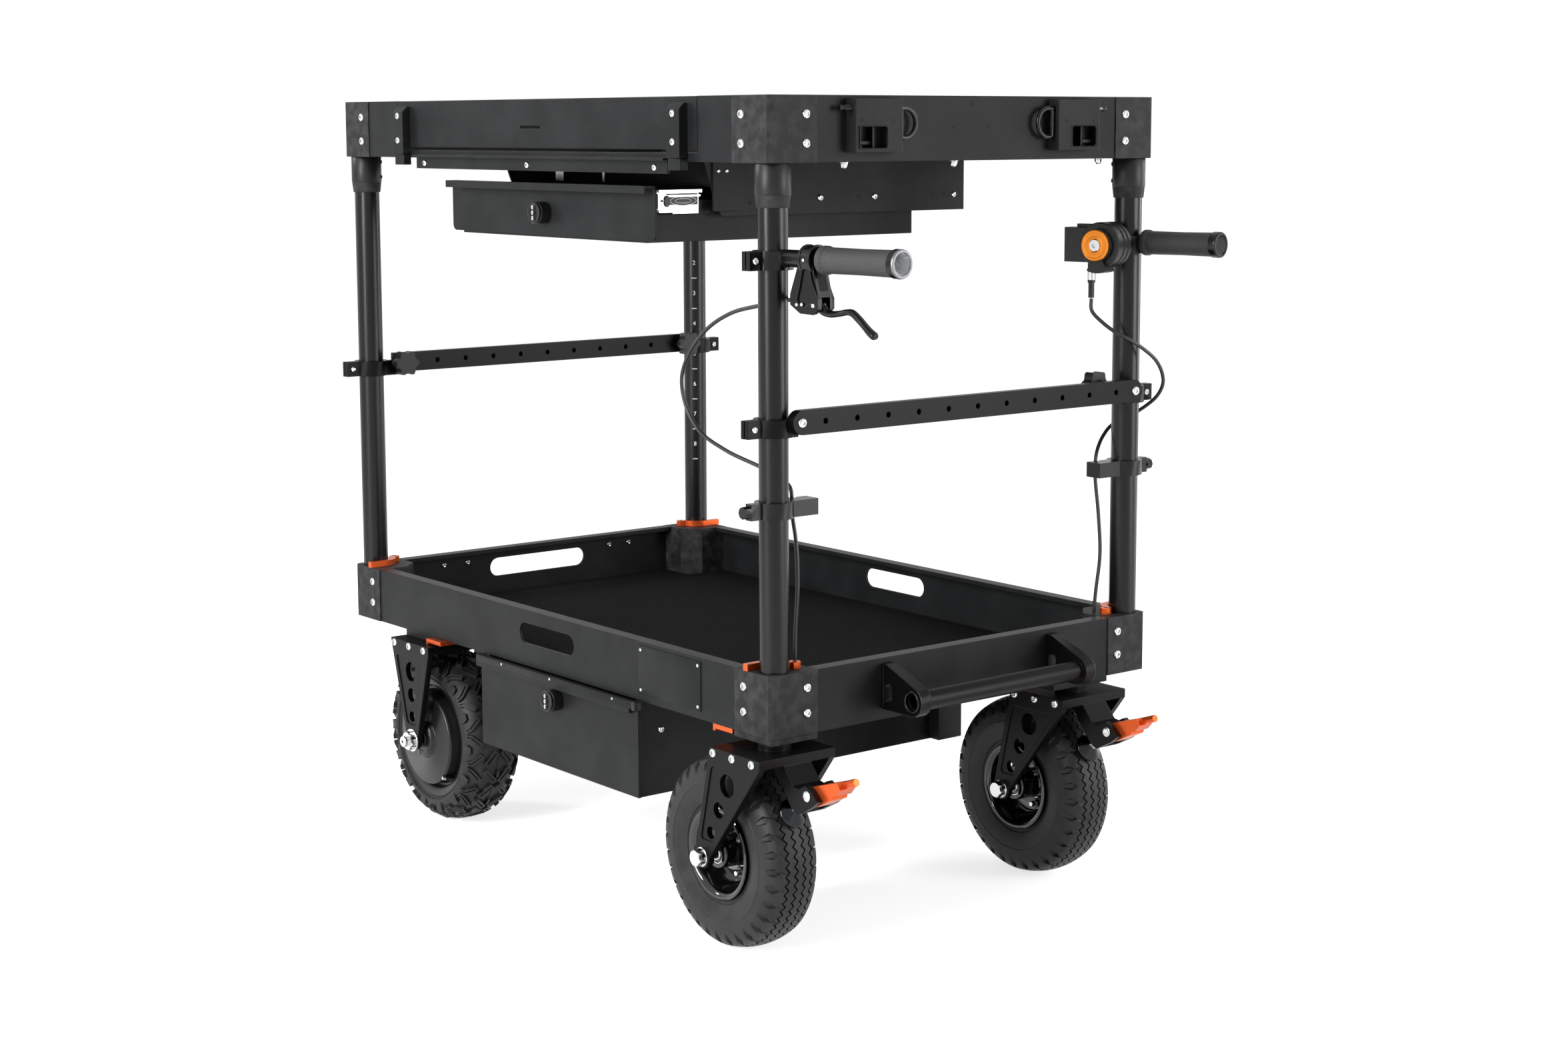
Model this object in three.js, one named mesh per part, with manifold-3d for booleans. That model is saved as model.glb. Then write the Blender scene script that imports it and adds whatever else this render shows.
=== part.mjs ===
import * as THREE from "three";
import { mergeVertices } from "three/addons/utils/BufferGeometryUtils.js";
import Module from "manifold-3d";

const wasm = await Module();
wasm.setup();

// Millimetres. X runs along the cart towards the end with the handles, -Y is the long side with
// the drop door, and Z is the height above the ground.

// Gaps and counts that all pieces share
const fit = 0.3;
const running = 1.2;
const overrun = 4;
const weld = 0.0004;
const degree = Math.PI / 180;
const roundSides = 16;
const smallSides = 8;
const boltSides = 6;
const wheelSides = 24;
const arcSteps = 3;
const holeSteps = 5;

// The two decks, on the cart's outside
const deck = { length: 1067, width: 679, wall: 4, floor: 3, wallInset: 1.5, rimWidth: 20, rimDepth: 7 };
const upper = { z: 1016.7, depth: 83.3 };
const lower = { z: 293.3, depth: 81.8 };
const half = { x: deck.length / 2, y: deck.width / 2 };
const upperTop = upper.z + upper.depth;
const lowerTop = lower.z + lower.depth;
const wallX = half.x - deck.wallInset;
const wallY = half.y - deck.wallInset;

// Posts and the corner castings that hold them
const post = { inset: 24, radius: 19.05, wall: 2.5, foot: 10, head: 9 };
const postX = half.x - post.inset;
const postY = half.y - post.inset;
const casting = {
  leg: 76, edge: 6, bevel: 26, collarRadius: 22.5, collarDepth: 40, coneDepth: 15,
};

// Hand slots in the lower deck's walls: middle along the wall, then length
const slot = { rise: 47.7, height: 30, doorSideX: 16, farSideX: -5, sideLength: 140, endLength: 186 };
slot.z = lower.z + slot.rise;
const mat = { thick: 4, margin: 6 };

// Drop door in the upper deck's long wall
const door = {
  leftGap: 165.5, rightGap: 150.5, rise: 15.3, panel: 4, sillRise: 11.3, gap: 1.5, slotFrom: -31, slotTo: 20,
  slotUp: 29, slotHeight: 4, bracketWidth: 28, bracketProud: 14, bracketInset: 8, footRise: 5.3,
  bracketBevel: 8, leftIn: 8, rightIn: 19,
};
door.from = -half.x + door.leftGap;
door.to = half.x - door.rightGap;
door.bottom = upper.z + door.rise;
door.sill = upper.z + door.sillRise;
door.slotZ = door.bottom + door.slotUp;
door.bracketFoot = upper.z + door.footRise;
door.leftBracket = door.from + door.leftIn;
door.rightBracket = door.to - door.rightIn - door.bracketWidth;
const ledge = { leftGap: 223.5, rightGap: 209.5, drop: 15.7, rise: 4.3, thick: 4, lip: 7, rim: 3, shelf: 16 };
ledge.from = -half.x + ledge.leftGap;
ledge.to = half.x - ledge.rightGap;
ledge.bottom = upper.z - ledge.drop;
ledge.top = upper.z + ledge.rise;
const pivot = { width: 26, drop: 10.7, proud: 12 };
pivot.bottom = upper.z - pivot.drop;
pivot.top = ledge.top;

// Accessory sockets on the handle end, with their ring pins
const socket = {
  rise: 12, height: 67.7, proud: 18, edgeIn: 124.2, width: 77.3, windowHigh: 28, windowLong: 47, windowDepth: 14,
  windowUp: 18.7, windowIn: 4.8, bore: 4, boreDown: 12.4, boreIn: 9,
};
socket.bottom = upper.z + socket.rise;
socket.far = half.y - socket.edgeIn;
socket.near = socket.far - socket.width;
socket.windowZ = socket.bottom + socket.windowUp;
socket.boreZ = socket.bottom + socket.height - socket.boreDown;
const ringPin = { rodRadius: 3.6, tip: 21, ring: 22, ringOut: 9.5, wire: 3.2, arcSteps: 9 };

// Upper drawer and its case
const drawer = {
  left: -232, right: 232, backGap: 181.5, drop: 108.7, height: 58, sheet: 2.5, frontLeft: -257, frontRight: 256,
  frontUp: 3, frontHeight: 73, frontGap: 29.5, frontThick: 3, frontCorner: 9, lipLeft: -252, lipRight: 252,
  lipOut: 18, lipDrop: 10,
};
drawer.back = half.y - drawer.backGap;
drawer.frontY = -half.y + drawer.frontGap;
drawer.bottom = upper.z - drawer.drop;
drawer.top = drawer.bottom + drawer.height;
drawer.frontBottom = drawer.bottom + drawer.frontUp;
drawer.frontTop = drawer.frontBottom + drawer.frontHeight;
const drawerCase = {
  side: 250, sheet: 3, frontGap: 110.5, backGap: 96.5, drop: 75.7, curve: 30, backDrop: 60, plateGap: 14,
  plateWide: 50, plateThick: 3, plateDrop: 68.7,
};
drawerCase.front = -half.y + drawerCase.frontGap;
drawerCase.back = half.y - drawerCase.backGap;
drawerCase.bottom = upper.z - drawerCase.drop;
drawerCase.plateFrom = drawerCase.front + drawerCase.plateGap;
drawerCase.plateTo = drawerCase.plateFrom + drawerCase.plateWide;
drawerCase.plateBottom = upper.z - drawerCase.plateDrop;
const slide = { height: 23, wall: 2, channel: 4, half: 8 };
slide.top = drawer.top;
slide.bottom = slide.top - slide.height;
const lock = { radius: 15.5, deep: 18, edge: 3, pinRadius: 5, upperX: -8, upperUp: 31.5, lowerX: 45, lowerDown: 34.3 };
lock.upperZ = drawer.frontBottom + lock.upperUp;
lock.lowerZ = lower.z - lock.lowerDown;

// Lower drawer and its cabinet
const cabinet = {
  leftGap: 383.5, rightGap: 293.5, frontGap: 4.5, backGap: 146.5, drop: 136.3, sheet: 3, boxWider: 18, boxDeep: 45,
  boxDrop: 7.3,
};
cabinet.left = -half.x + cabinet.leftGap;
cabinet.right = half.x - cabinet.rightGap;
cabinet.front = -half.y + cabinet.frontGap;
cabinet.back = half.y - cabinet.backGap;
cabinet.bottom = lower.z - cabinet.drop;
cabinet.boxLeft = cabinet.left - cabinet.boxWider;
cabinet.boxRight = cabinet.right + cabinet.boxWider;
cabinet.boxBack = cabinet.back + cabinet.boxDeep;
cabinet.boxTop = lower.z - cabinet.boxDrop;
const bin = { gap: 9, topDrop: 21.3, leftOut: 8, rightOut: 2, panelDrop: 9.3, panelThick: 4, lip: 9, sheet: 2.5 };
bin.top = lower.z - bin.topDrop;
bin.panelLeft = cabinet.left - bin.leftOut;
bin.panelRight = cabinet.right + bin.rightOut;
bin.panelTop = lower.z - bin.panelDrop;

// Casters at the handle end
const caster = {
  farStemIn: 125.5, trail: 74.5, tyre: 127.5, width: 80, plateBack: 56, plateFront: 47,
  halfWidth: 60, plateDrop: 16.6, plateThick: 12, cheek: 8, eye: 15, stemRadius: 22, baseDrop: 8.3,
  baseBack: 55, baseFront: 22.5, baseHalf: 55, axle: 6, axleEnd: 68, headRadius: 11.5,
};
caster.doorStemY = -postY;
caster.farStemY = half.y - caster.farStemIn;
caster.plateTop = lower.z - caster.plateDrop;
caster.baseBottom = lower.z - caster.baseDrop;
const cheekHole = { top: 15.5, middle: 11, low: 8.5, topShare: 0.24, middleShare: 0.5, lowShare: 0.74 };
const casterHoles = [
  { radius: cheekHole.top, share: cheekHole.topShare },
  { radius: cheekHole.middle, share: cheekHole.middleShare },
  { radius: cheekHole.low, share: cheekHole.lowShare },
];

// Brake on each caster: bracket under the fork, pad and toggle lever
const padBrake = {
  half: 22, pivotX: 92, pivotDown: 40.7, pinRadius: 4, padRadius: 18.5, padTip: 6, padDeep: 13, padTurn: 32.6, padGap: 3,
  leverHalf: 13, padSteep: 30, forkRoom: 16, rod: 5, rodFrom: 36, rodTo: 72, rodRise: 16.5, rodTurn: 19.5,
};
padBrake.pivotZ = caster.plateTop - padBrake.pivotDown;

// Outlines of the bracket's lower part and of the lever's body, in shares of the lever's half width from its pin
const bracketShares = [
  [-2.06, 0.58], [-1.28, 0.44], [-0.25, 0.99], [0.65, 0.57], [1.6, -0.28], [0.64, -1.05], [-1.48, -2.15], [-2.33, -1.68],
  [-3.37, -0.34],
];
const brakeLeverShares = [
  [-0.5, -0.6], [-0.5, 0.6], [0.2, 0.88], [3.6, 1.95], [4.1, 1.3], [3.5, 0.62], [2.9, 0.38], [2.85, 0.08], [0.62, -1.07],
];

// Driven wheels with hub motors
const drive = {
  endGap: 208.5, sideGap: 51.5, tyre: 132, width: 84, halfWidth: 74, plateBack: 58, plateFront: 53, plateDrop: 9.6,
  plateThick: 12, cheek: 8, eye: 15, stud: 90, studRadius: 8, nutRadius: 14, nut: 9, baseDeep: 122, baseSide: 4,
  rim: 84, coverRadius: 71, coverHalf: 52, hubRadius: 28, hubHalf: 61,
};
drive.x = -half.x + drive.endGap;
drive.y = half.y - drive.sideGap;
drive.plateLeft = drive.x - drive.plateBack;
drive.plateRight = drive.x + drive.plateFront;
drive.plateTop = lower.z - drive.plateDrop;
drive.baseFront = wallY;
drive.baseBack = wallY - drive.baseDeep;

// Wheel parts
const rim = { flange: 60, seat: 51, flangeWide: 5, barrelHalf: 34, hubRadius: 17, hubHalf: 46, disc: 3, bore: 0.4, wall: 3 };
const tyreWall = 10;
const tyreShares = { bead: 0.7, shoulder: 0.94, crown: 0.7, grooveOut: 0.2, grooveIn: 0.12, inside: 0.5 };
const tread = { waves: 12, groove: 5, zig: 2.2, from: 3, to: 8 };

// Rails between the posts
const band = { wall: 7, height: 23, z: 687.5, earLong: 20, earHalf: 7 };
const endRail = { proud: 35.5, thick: 13, endIn: 3.5, z: 695, height: 31, hole: 4.2, holeDepth: 8, pitch: 52, holeIn: 52, armHalf: 11 };
endRail.face = postX + endRail.proud;
endRail.end = postY - endRail.endIn;
const leftRail = { proud: 20.5, thick: 12, endIn: 30.5, z: 695, height: 30, hole: 4.2, holeDepth: 7, pitch: 52, holeIn: 68, armHalf: 9 };
leftRail.face = -postX + leftRail.proud;
leftRail.end = postY - leftRail.endIn;
for (const rail of [endRail, leftRail]) rail.holes = 1 + 2 * Math.floor((rail.end - rail.holeIn) / rail.pitch);
const star = { radius: 18, lobe: 2.6, lobes: 6, pointsEach: 6, deep: 16, shank: 8, shankRadius: 8, in: 40.5, endIn: 67.5, up: 9 };
star.y = postY - star.in;
star.endY = postY - star.endIn;
star.endZ = endRail.z + star.up;

// Tow handle on the lower deck's end
const tow = {
  left: -155, right: 159, plate: 17, rise: 14.7, height: 60, ringX: 59, ringUp: 19, ringRadius: 20, tube: 13.5,
  tubeBore: 10, cup: 15.5, cupDeep: 4, base: 6, shoulderTurn: 54, windowHalf: 10, windowWide: 7,
};
tow.bottom = lower.z + tow.rise;
tow.top = tow.bottom + tow.height;
tow.ringZ = tow.bottom + tow.ringUp;

// Handles, each in a frame turned about its post
const grip = {
  z: 900, bar: 11, outer: 16.3, bandBottom: 885, bandHeight: 24, turnDoor: 5, turnFar: 11, doorFrom: 91,
  doorTo: 223, farFrom: 29, farTo: 150, end: 4, ring: 5, ringProud: 1.6,
};
const perch = {
  from: 63, to: 81, ring: 17, bodyBottom: 835, cheekHalf: 12, slotHalf: 7, pivotX: 85, pivotZ: 843, pivotRadius: 9, pin: 3,
  barrelFrom: 46, barrelTo: 30, barrelRadius: 6, barrelZ: 851, barrelY: 26, arm: 13,
};
// The hand lever's outline, in shares of its eye's radius from its pin
const bladeShares = {
  rootX: 2, rootZ: 0.33, bendX: 7, bendTop: 1, bendUnder: -0.2, tipX: 10, tipTop: -3, tipMiddle: -3.6, tipEnd: 0.5,
  neckX: 2.4, neckZ: -0.8,
};
const blade = { half: 6 };
const throttle = {
  axisX: 4, z: 898.4, neck: 16, bodyRadius: 31, bodyFrom: 45, bodyTo: 78, discRadius: 23, discTo: 86, paddleRadius: 38.5,
  paddleFrom: 62, paddleHalfAngle: 24, boxLeft: -62, boxFrom: 45, boxTo: 65, boxBottom: 873.5, boxTop: 921.5,
  buttonLeft: -45, buttonRight: -22, buttonHalf: 4.5, buttonProud: 5, buttonSunk: 3, buttonTravel: 2, plugX: -23, plugRadius: 5.5,
  plugBottom: 845, bootRadius: 4.2, bootBottom: 824,
};

// Cable clips on the two posts at the handle end, and the cables' routes, chosen by eye
const clip = { bottom: 573, height: 21, wall: 6, boxNear: 22, boxFar: 62, boxHalf: 13, earTo: 40, earHalf: 6, knob: 50, knobRadius: 8, notch: 4.2 };
const cable = { radius: 2.6, sides: 8, steps: 40 };
const brakeRoute = [
  [27, 28.4, 851], [4, 27, 847], [-60, 27, 836], [-125, 28, 822], [-182, 30, 796], [-225, 34, 761], [-246, 38, 727],
  [-240, 40, 692], [-214, 42, 661], [-156, 42, 640], [-66, 42, 622], [-20, 42, 606], [-16, 42, 590], [-16, 42, 574],
  [-8, 42, 538], [-6, 43, 480], [-12, 44, 420], [-13, 44, 376],
];
const throttleRoute = [
  [-12, -58.4, 823], [-11, -58, 806], [2, -50, 790], [17, -38, 776], [27, -22, 766], [34, 0, 752], [37, 22, 735],
  [36, 36, 716], [32, 42, 700], [20, 43, 682], [2, 38, 666], [-14, 26, 653], [-27, 2, 640], [-27, -16, 625], [-21, -32, 610],
  [-17, -40, 597], [-16, -42, 575], [-12, -38, 516], [-8, -38, 460], [-11, -42, 410], [-13, -44, 376],
];

// Levers of sheet aluminium: post clamps on the lower castings, and releases under the deck
const clampLever = { thick: 9, inner: 3, wide: 9, eye: 8, eyeAt: 37, tail: 26, pin: 3 };
const release = { thick: 6, drop: 9, eye: 8, long: 46, wide: 11, tabLong: 36, pin: 3 };

// Finishes as seen in daylight
const finish = {
  satinBlack: { color: 0x1b1c1e, roughness: 0.55, metalness: 0.4 },
  moulded: { color: 0x202022, roughness: 0.75, metalness: 0.0 },
  anodised: { color: 0x161618, roughness: 0.35, metalness: 0.6 },
  rubber: { color: 0x1a1a1a, roughness: 0.9, metalness: 0.0 },
  orange: { color: 0xe2560f, roughness: 0.35, metalness: 0.6 },
  felt: { color: 0x111112, roughness: 1.0, metalness: 0.0 },
};

// The radius of a faceted bore that clears a faceted pin at any turn
function turningBore(radius, sides) {
  return (radius + fit) / Math.cos(Math.PI / sides);
}
const bandBore = turningBore(post.radius, roundSides);

// A closed three.js geometry as a solid that can be joined and cut
function solid(geometry) {
  const bare = geometry.clone();
  bare.deleteAttribute("normal");
  bare.deleteAttribute("uv");
  const merged = mergeVertices(bare, weld);
  const corners = merged.index.array;
  const faces = [];
  for (let i = 0; i < corners.length; i += 3) {
    const [a, b, c] = [corners[i], corners[i + 1], corners[i + 2]];
    if (a !== b && b !== c && c !== a) faces.push(a, b, c);
  }
  const vertProperties = merged.attributes.position.array;
  const made = new wasm.Manifold(new wasm.Mesh({ numProp: 3, vertProperties, triVerts: new Uint32Array(faces) }));
  if (made.volume() >= 0) return made;
  const turned = new Uint32Array(faces.reverse());
  return new wasm.Manifold(new wasm.Mesh({ numProp: 3, vertProperties, triVerts: turned }));
}

const join = (first, ...rest) => rest.reduce((body, piece) => body.add(piece), first);
const cut = (body, ...cutters) => cutters.reduce((left, piece) => left.subtract(piece), body);

function block(x0, x1, y0, y1, z0, z1) {
  const box = new THREE.BoxGeometry(x1 - x0, y1 - y0, z1 - z0);
  box.translate((x0 + x1) / 2, (y0 + y1) / 2, (z0 + z1) / 2);
  return solid(box);
}

// A shape from its corner points
function outline(points) {
  return new THREE.Shape(points.map(([a, b]) => new THREE.Vector2(a, b)));
}

// A rectangle with round corners
function roundRect(a0, a1, b0, b1, radius) {
  const shape = new THREE.Shape();
  shape.absarc(a1 - radius, b1 - radius, radius, 0, Math.PI / 2);
  shape.absarc(a0 + radius, b1 - radius, radius, Math.PI / 2, Math.PI);
  shape.absarc(a0 + radius, b0 + radius, radius, Math.PI, Math.PI * 1.5);
  shape.absarc(a1 - radius, b0 + radius, radius, Math.PI * 1.5, Math.PI * 2);
  return shape;
}

// An outline's points, without repeats, running clockwise or the other way
function wound(points, clockwise) {
  const kept = points.filter((p, i) => p.distanceTo(points[(i + 1) % points.length]) > weld);
  return THREE.ShapeUtils.isClockWise(kept) === clockwise ? kept : kept.reverse();
}

// An outline pushed along an axis. Its two coordinates are (Y, Z) for x, (X, Z) for y and (X, Y) for z.
function prism(axis, shape, from, to, steps = arcSteps) {
  const { shape: rimPoints, holes } = shape.extractPoints(steps);
  const clean = new THREE.Shape(wound(rimPoints, false));
  clean.holes = holes.map((hole) => new THREE.Path(wound(hole, true)));
  const pushed = new THREE.ExtrudeGeometry(clean, { depth: to - from, bevelEnabled: false });
  if (axis === "y") {
    pushed.rotateX(Math.PI / 2);
    pushed.translate(0, to, 0);
  } else {
    pushed.translate(0, 0, from);
  }
  if (axis === "x") {
    const turn = new THREE.Matrix4();
    turn.makeBasis(new THREE.Vector3(0, 1, 0), new THREE.Vector3(0, 0, 1), new THREE.Vector3(1, 0, 0));
    pushed.applyMatrix4(turn);
  }
  return solid(pushed);
}

// Moves a shape that lies along Y onto the axis wanted, through the point (a, b)
function alongAxis(geometry, axis, a, b) {
  if (axis === "x") {
    geometry.rotateZ(-Math.PI / 2);
    geometry.translate(0, a, b);
  } else if (axis === "y") {
    geometry.translate(a, 0, b);
  } else {
    geometry.rotateX(Math.PI / 2);
    geometry.translate(a, b, 0);
  }
  return solid(geometry);
}

// A round bar along an axis between two stations, or a cone when its end has another radius
function drum(axis, radius, from, to, a, b, sides = roundSides, endRadius = radius) {
  const bar = new THREE.CylinderGeometry(endRadius, radius, to - from, sides);
  bar.translate(0, (from + to) / 2, 0);
  return alongAxis(bar, axis, a, b);
}

function pipe(axis, outer, inner, from, to, a, b, sides = roundSides) {
  return cut(drum(axis, outer, from, to, a, b, sides), drum(axis, inner, from - overrun, to + overrun, a, b, sides));
}

// A profile of [radius, station] pairs turned about an axis
function turned(axis, profile, a, b, sides = roundSides) {
  const points = profile.map(([radius, station]) => new THREE.Vector2(radius, station));
  return alongAxis(new THREE.LatheGeometry(points, sides), axis, a, b);
}

// A round cord of few sides along a smooth curve
function cord(points, radius, sides, steps) {
  const path = new THREE.CatmullRomCurve3(points, false, "centripetal");
  const ring = new THREE.Shape();
  for (let i = 0; i < sides; i += 1) {
    const turn = (i / sides) * Math.PI * 2;
    if (i === 0) ring.moveTo(radius * Math.cos(turn), radius * Math.sin(turn));
    else ring.lineTo(radius * Math.cos(turn), radius * Math.sin(turn));
  }
  ring.closePath();
  return solid(new THREE.ExtrudeGeometry(ring, { extrudePath: path, steps, bevelEnabled: false }));
}

function geometryOf(body) {
  const { vertProperties, triVerts } = body.getMesh();
  const shape = new THREE.BufferGeometry();
  shape.setAttribute("position", new THREE.BufferAttribute(vertProperties, 3));
  shape.setIndex(new THREE.BufferAttribute(triVerts, 1));
  const flat = shape.toNonIndexed();
  flat.computeVertexNormals();
  return flat;
}

const cart = new THREE.Group();

function piece(name, body, look, group = cart) {
  const mesh = new THREE.Mesh(geometryOf(body), new THREE.MeshStandardMaterial(look));
  mesh.name = name;
  group.add(mesh);
  return mesh;
}

// Runs through the four corners: name, side along X, side along Y
const corners = [
  ["handle_door", 1, -1],
  ["handle_far", 1, 1],
  ["drive_door", -1, -1],
  ["drive_far", -1, 1],
];

// A block between two distances from the middle, on the side of each sign
function cornerBlock(sx, sy, inX, outX, inY, outY, z0, z1) {
  const x = [sx * inX, sx * outX].sort((p, q) => p - q);
  const y = [sy * inY, sy * outY].sort((p, q) => p - q);
  return block(x[0], x[1], y[0], y[1], z0, z1);
}

// A deck's tray: floor, walls and rolled rim, open at its four corners for the castings
function tray(z0, z1) {
  const body = cut(
    block(-wallX, wallX, -wallY, wallY, z0, z1),
    block(-wallX + deck.wall, wallX - deck.wall, -wallY + deck.wall, wallY - deck.wall, z0 + deck.floor, z1 + overrun),
  );
  const rimBar = cut(
    block(-wallX, wallX, -wallY, wallY, z1 - deck.rimDepth, z1),
    block(
      -wallX + deck.rimWidth, wallX - deck.rimWidth, -wallY + deck.rimWidth, wallY - deck.rimWidth,
      z1 - deck.rimDepth - overrun, z1 + overrun,
    ),
  );
  const leg = casting.leg + fit;
  const notches = corners.map(([, sx, sy]) =>
    cornerBlock(sx, sy, half.x - leg, half.x + overrun, half.y - leg, half.y + overrun, z0 - overrun, z1 + overrun));
  return cut(join(body, rimBar), ...notches);
}

// A slot with round ends through a wall that faces X or Y
function handSlot(axis, middle, length, from, to) {
  const shape = roundRect(
    middle - length / 2, middle + length / 2, slot.z - slot.height / 2, slot.z + slot.height / 2, slot.height / 2);
  return prism(axis, shape, from, to);
}

function lowerTray() {
  const x = [-wallX - overrun, -wallX + deck.rimWidth + overrun];
  const inner = -wallY + deck.rimWidth + overrun;
  let body = cut(
    tray(lower.z, lowerTop),
    handSlot("y", slot.doorSideX, slot.sideLength, -wallY - overrun, inner),
    handSlot("y", slot.farSideX, slot.sideLength, -inner, wallY + overrun),
    handSlot("x", 0, slot.endLength, x[0], x[1]),
  );
  const base = block(
    postX - caster.baseBack, postX + caster.baseFront, caster.farStemY - caster.baseHalf,
    half.y - casting.leg - fit, caster.baseBottom, lower.z);
  body = join(body, base);
  for (const side of [-1, 1]) {
    const y = [side * drive.baseFront, side * drive.baseBack].sort((p, q) => p - q);
    const x0 = drive.plateLeft + drive.baseSide;
    const x1 = drive.plateRight - drive.baseSide;
    body = join(body, block(x0, x1, y[0], y[1], drive.plateTop + fit, lower.z));
  }
  return body;
}

// Plan of a casting: square outside with eased edges, bevelled inside
function castingPlan(sx, sy) {
  const [out, inn] = [0, casting.leg];
  const points = [
    [out + casting.edge, out], [inn, out], [inn, inn - casting.bevel], [inn - casting.bevel, inn], [out, inn],
    [out, out + casting.edge],
  ];
  return outline(points.map(([a, b]) => [sx * (half.x - a), sy * (half.y - b)]));
}

// A lower casting: blind bore for its post, and under one of them the door side caster's base
function lowerCasting(sx, sy) {
  const [x, y] = [sx * postX, sy * postY];
  let body = prism("z", castingPlan(sx, sy), lower.z - fit, lowerTop);
  if (sx > 0 && sy < 0) {
    const base = block(
      postX - caster.baseBack, postX + caster.baseFront, -wallY, -half.y + casting.leg + fit,
      caster.baseBottom, lower.z - fit);
    body = join(body, base);
  }
  const bore = drum("z", post.radius + fit, lower.z + post.foot, lowerTop + overrun, x, y);
  return cut(body, bore);
}

function upperCasting(sx, sy) {
  const [x, y] = [sx * postX, sy * postY];
  const collarFoot = upper.z - casting.collarDepth;
  const body = join(
    prism("z", castingPlan(sx, sy), upper.z - fit, upperTop),
    drum("z", casting.collarRadius, collarFoot, upper.z, x, y),
    drum("z", post.radius + fit + deck.wallInset, collarFoot - casting.coneDepth, collarFoot, x, y, roundSides, casting.collarRadius),
  );
  const boreFoot = collarFoot - casting.coneDepth - overrun;
  return cut(body, drum("z", post.radius + fit, boreFoot, upperTop - post.head + fit, x, y));
}

// A cable clip round a post: split band with a thumb screw outside and a cable box inside
function cableClip(sx, sy) {
  const [x, y] = [sx * postX, sy * postY];
  const top = clip.bottom + clip.height;
  const inward = [y - sy * clip.boxNear, y - sy * clip.boxFar].sort((p, q) => p - q);
  const outward = [y + sy * post.radius, y + sy * clip.earTo].sort((p, q) => p - q);
  const knob = [y + sy * clip.earTo, y + sy * clip.knob].sort((p, q) => p - q);
  return join(
    drum("z", post.radius + clip.wall, clip.bottom, top, x, y),
    cut(
      block(x - clip.boxHalf, x + clip.boxHalf, inward[0], inward[1], clip.bottom, top),
      drum("z", clip.notch, clip.bottom - overrun, top + overrun, x - clip.boxHalf, y - sy * (clip.boxNear + clip.boxFar) / 2, smallSides),
    ),
    block(x - clip.earHalf, x + clip.earHalf, outward[0], outward[1], clip.bottom, top),
    drum("y", clip.knobRadius, knob[0], knob[1], x, clip.bottom + clip.height / 2, smallSides),
  );
}

function postTube(sx, sy) {
  const [x, y] = [sx * postX, sy * postY];
  const [foot, head] = [lower.z + post.foot + fit, upperTop - post.head];
  let body = drum("z", post.radius, foot, head, x, y);
  if (sx > 0) body = join(body, cableClip(sx, sy));
  return cut(body, drum("z", post.radius - post.wall, foot - overrun, head + overrun, x, y));
}

// Accessory socket on the handle end, its ring pin's bore running through it
function socketBlock(side) {
  const y = [side * socket.near, side * socket.far].sort((p, q) => p - q);
  const wide = [side * (socket.far - socket.windowIn), side * (socket.far - socket.windowIn - socket.windowLong)].sort((p, q) => p - q);
  const out = wallX + socket.proud;
  const body = block(wallX - deck.wall, out, y[0], y[1], socket.bottom, socket.bottom + socket.height);
  const win = socket.windowHigh / 2;
  return cut(
    body,
    block(out - socket.windowDepth, out + overrun, wide[0], wide[1], socket.windowZ - win, socket.windowZ + win),
    drum("y", socket.bore, y[0] - overrun, y[1] + overrun, out - socket.boreIn, socket.boreZ, smallSides),
  );
}

// The ledge that runs below the door, an angle with an outward lip
function doorLedge() {
  const face = -wallY - ledge.thick;
  const shape = outline([
    [-wallY + ledge.shelf, upper.z], [-wallY, upper.z], [-wallY, ledge.top], [face - ledge.lip, ledge.top],
    [face - ledge.lip, ledge.top - ledge.rim], [face, ledge.top - ledge.rim], [face, ledge.bottom],
    [-wallY, ledge.bottom], [-wallY, upper.z - ledge.thick], [-wallY + ledge.shelf, upper.z - ledge.thick],
  ]);
  return prism("x", shape, ledge.from, ledge.to);
}

// Sheet case that carries the upper drawer's slides under the deck
function drawerCaseSolid() {
  const c = drawerCase;
  const side = new THREE.Shape();
  side.moveTo(c.front, upper.z);
  side.lineTo(c.back, upper.z);
  side.lineTo(c.back, c.bottom);
  side.lineTo(c.front + c.curve, c.bottom);
  side.quadraticCurveTo(c.front + c.curve / 2, c.bottom + c.curve, c.front, upper.z);
  const plate = block(
    c.side, c.side + c.plateThick, c.plateFrom, c.plateTo, c.plateBottom, upper.z);
  const back = block(-c.side, c.side, c.back - c.sheet, c.back, c.backDrop + drawer.bottom, upper.z);
  let body = join(
    prism("x", side, c.side - c.sheet, c.side),
    prism("x", side, -c.side, -c.side + c.sheet),
    back, plate,
  );
  for (const sign of [-1, 1]) {
    const x = [sign * (drawer.right + slide.channel + slide.wall + fit), sign * (c.side - c.sheet)].sort((p, q) => p - q);
    body = join(body, block(x[0], x[1], c.front + c.curve, c.back, slide.bottom, slide.top));
  }
  return body;
}

function upperTray() {
  const doorway = block(
    door.from - door.gap, door.to + door.gap, -wallY - overrun, -wallY + deck.rimWidth + overrun, door.sill,
    upperTop + overrun);
  let body = cut(tray(upper.z, upperTop), doorway);
  body = join(body, doorLedge(), drawerCaseSolid(), socketBlock(-1), socketBlock(1));
  for (const from of [door.leftBracket, door.rightBracket]) {
    const x0 = from + (door.bracketWidth - pivot.width) / 2;
    body = join(body, block(x0, x0 + pivot.width, -wallY - pivot.proud, -wallY, pivot.bottom, pivot.top));
  }
  const bores = [-1, 1].map((side) => drum(
    "y", socket.bore, side > 0 ? socket.near - overrun : -socket.far - overrun,
    side > 0 ? socket.far + overrun : -socket.near + overrun, wallX + socket.proud - socket.boreIn, socket.boreZ, smallSides));
  return cut(body, ...bores);
}

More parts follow.
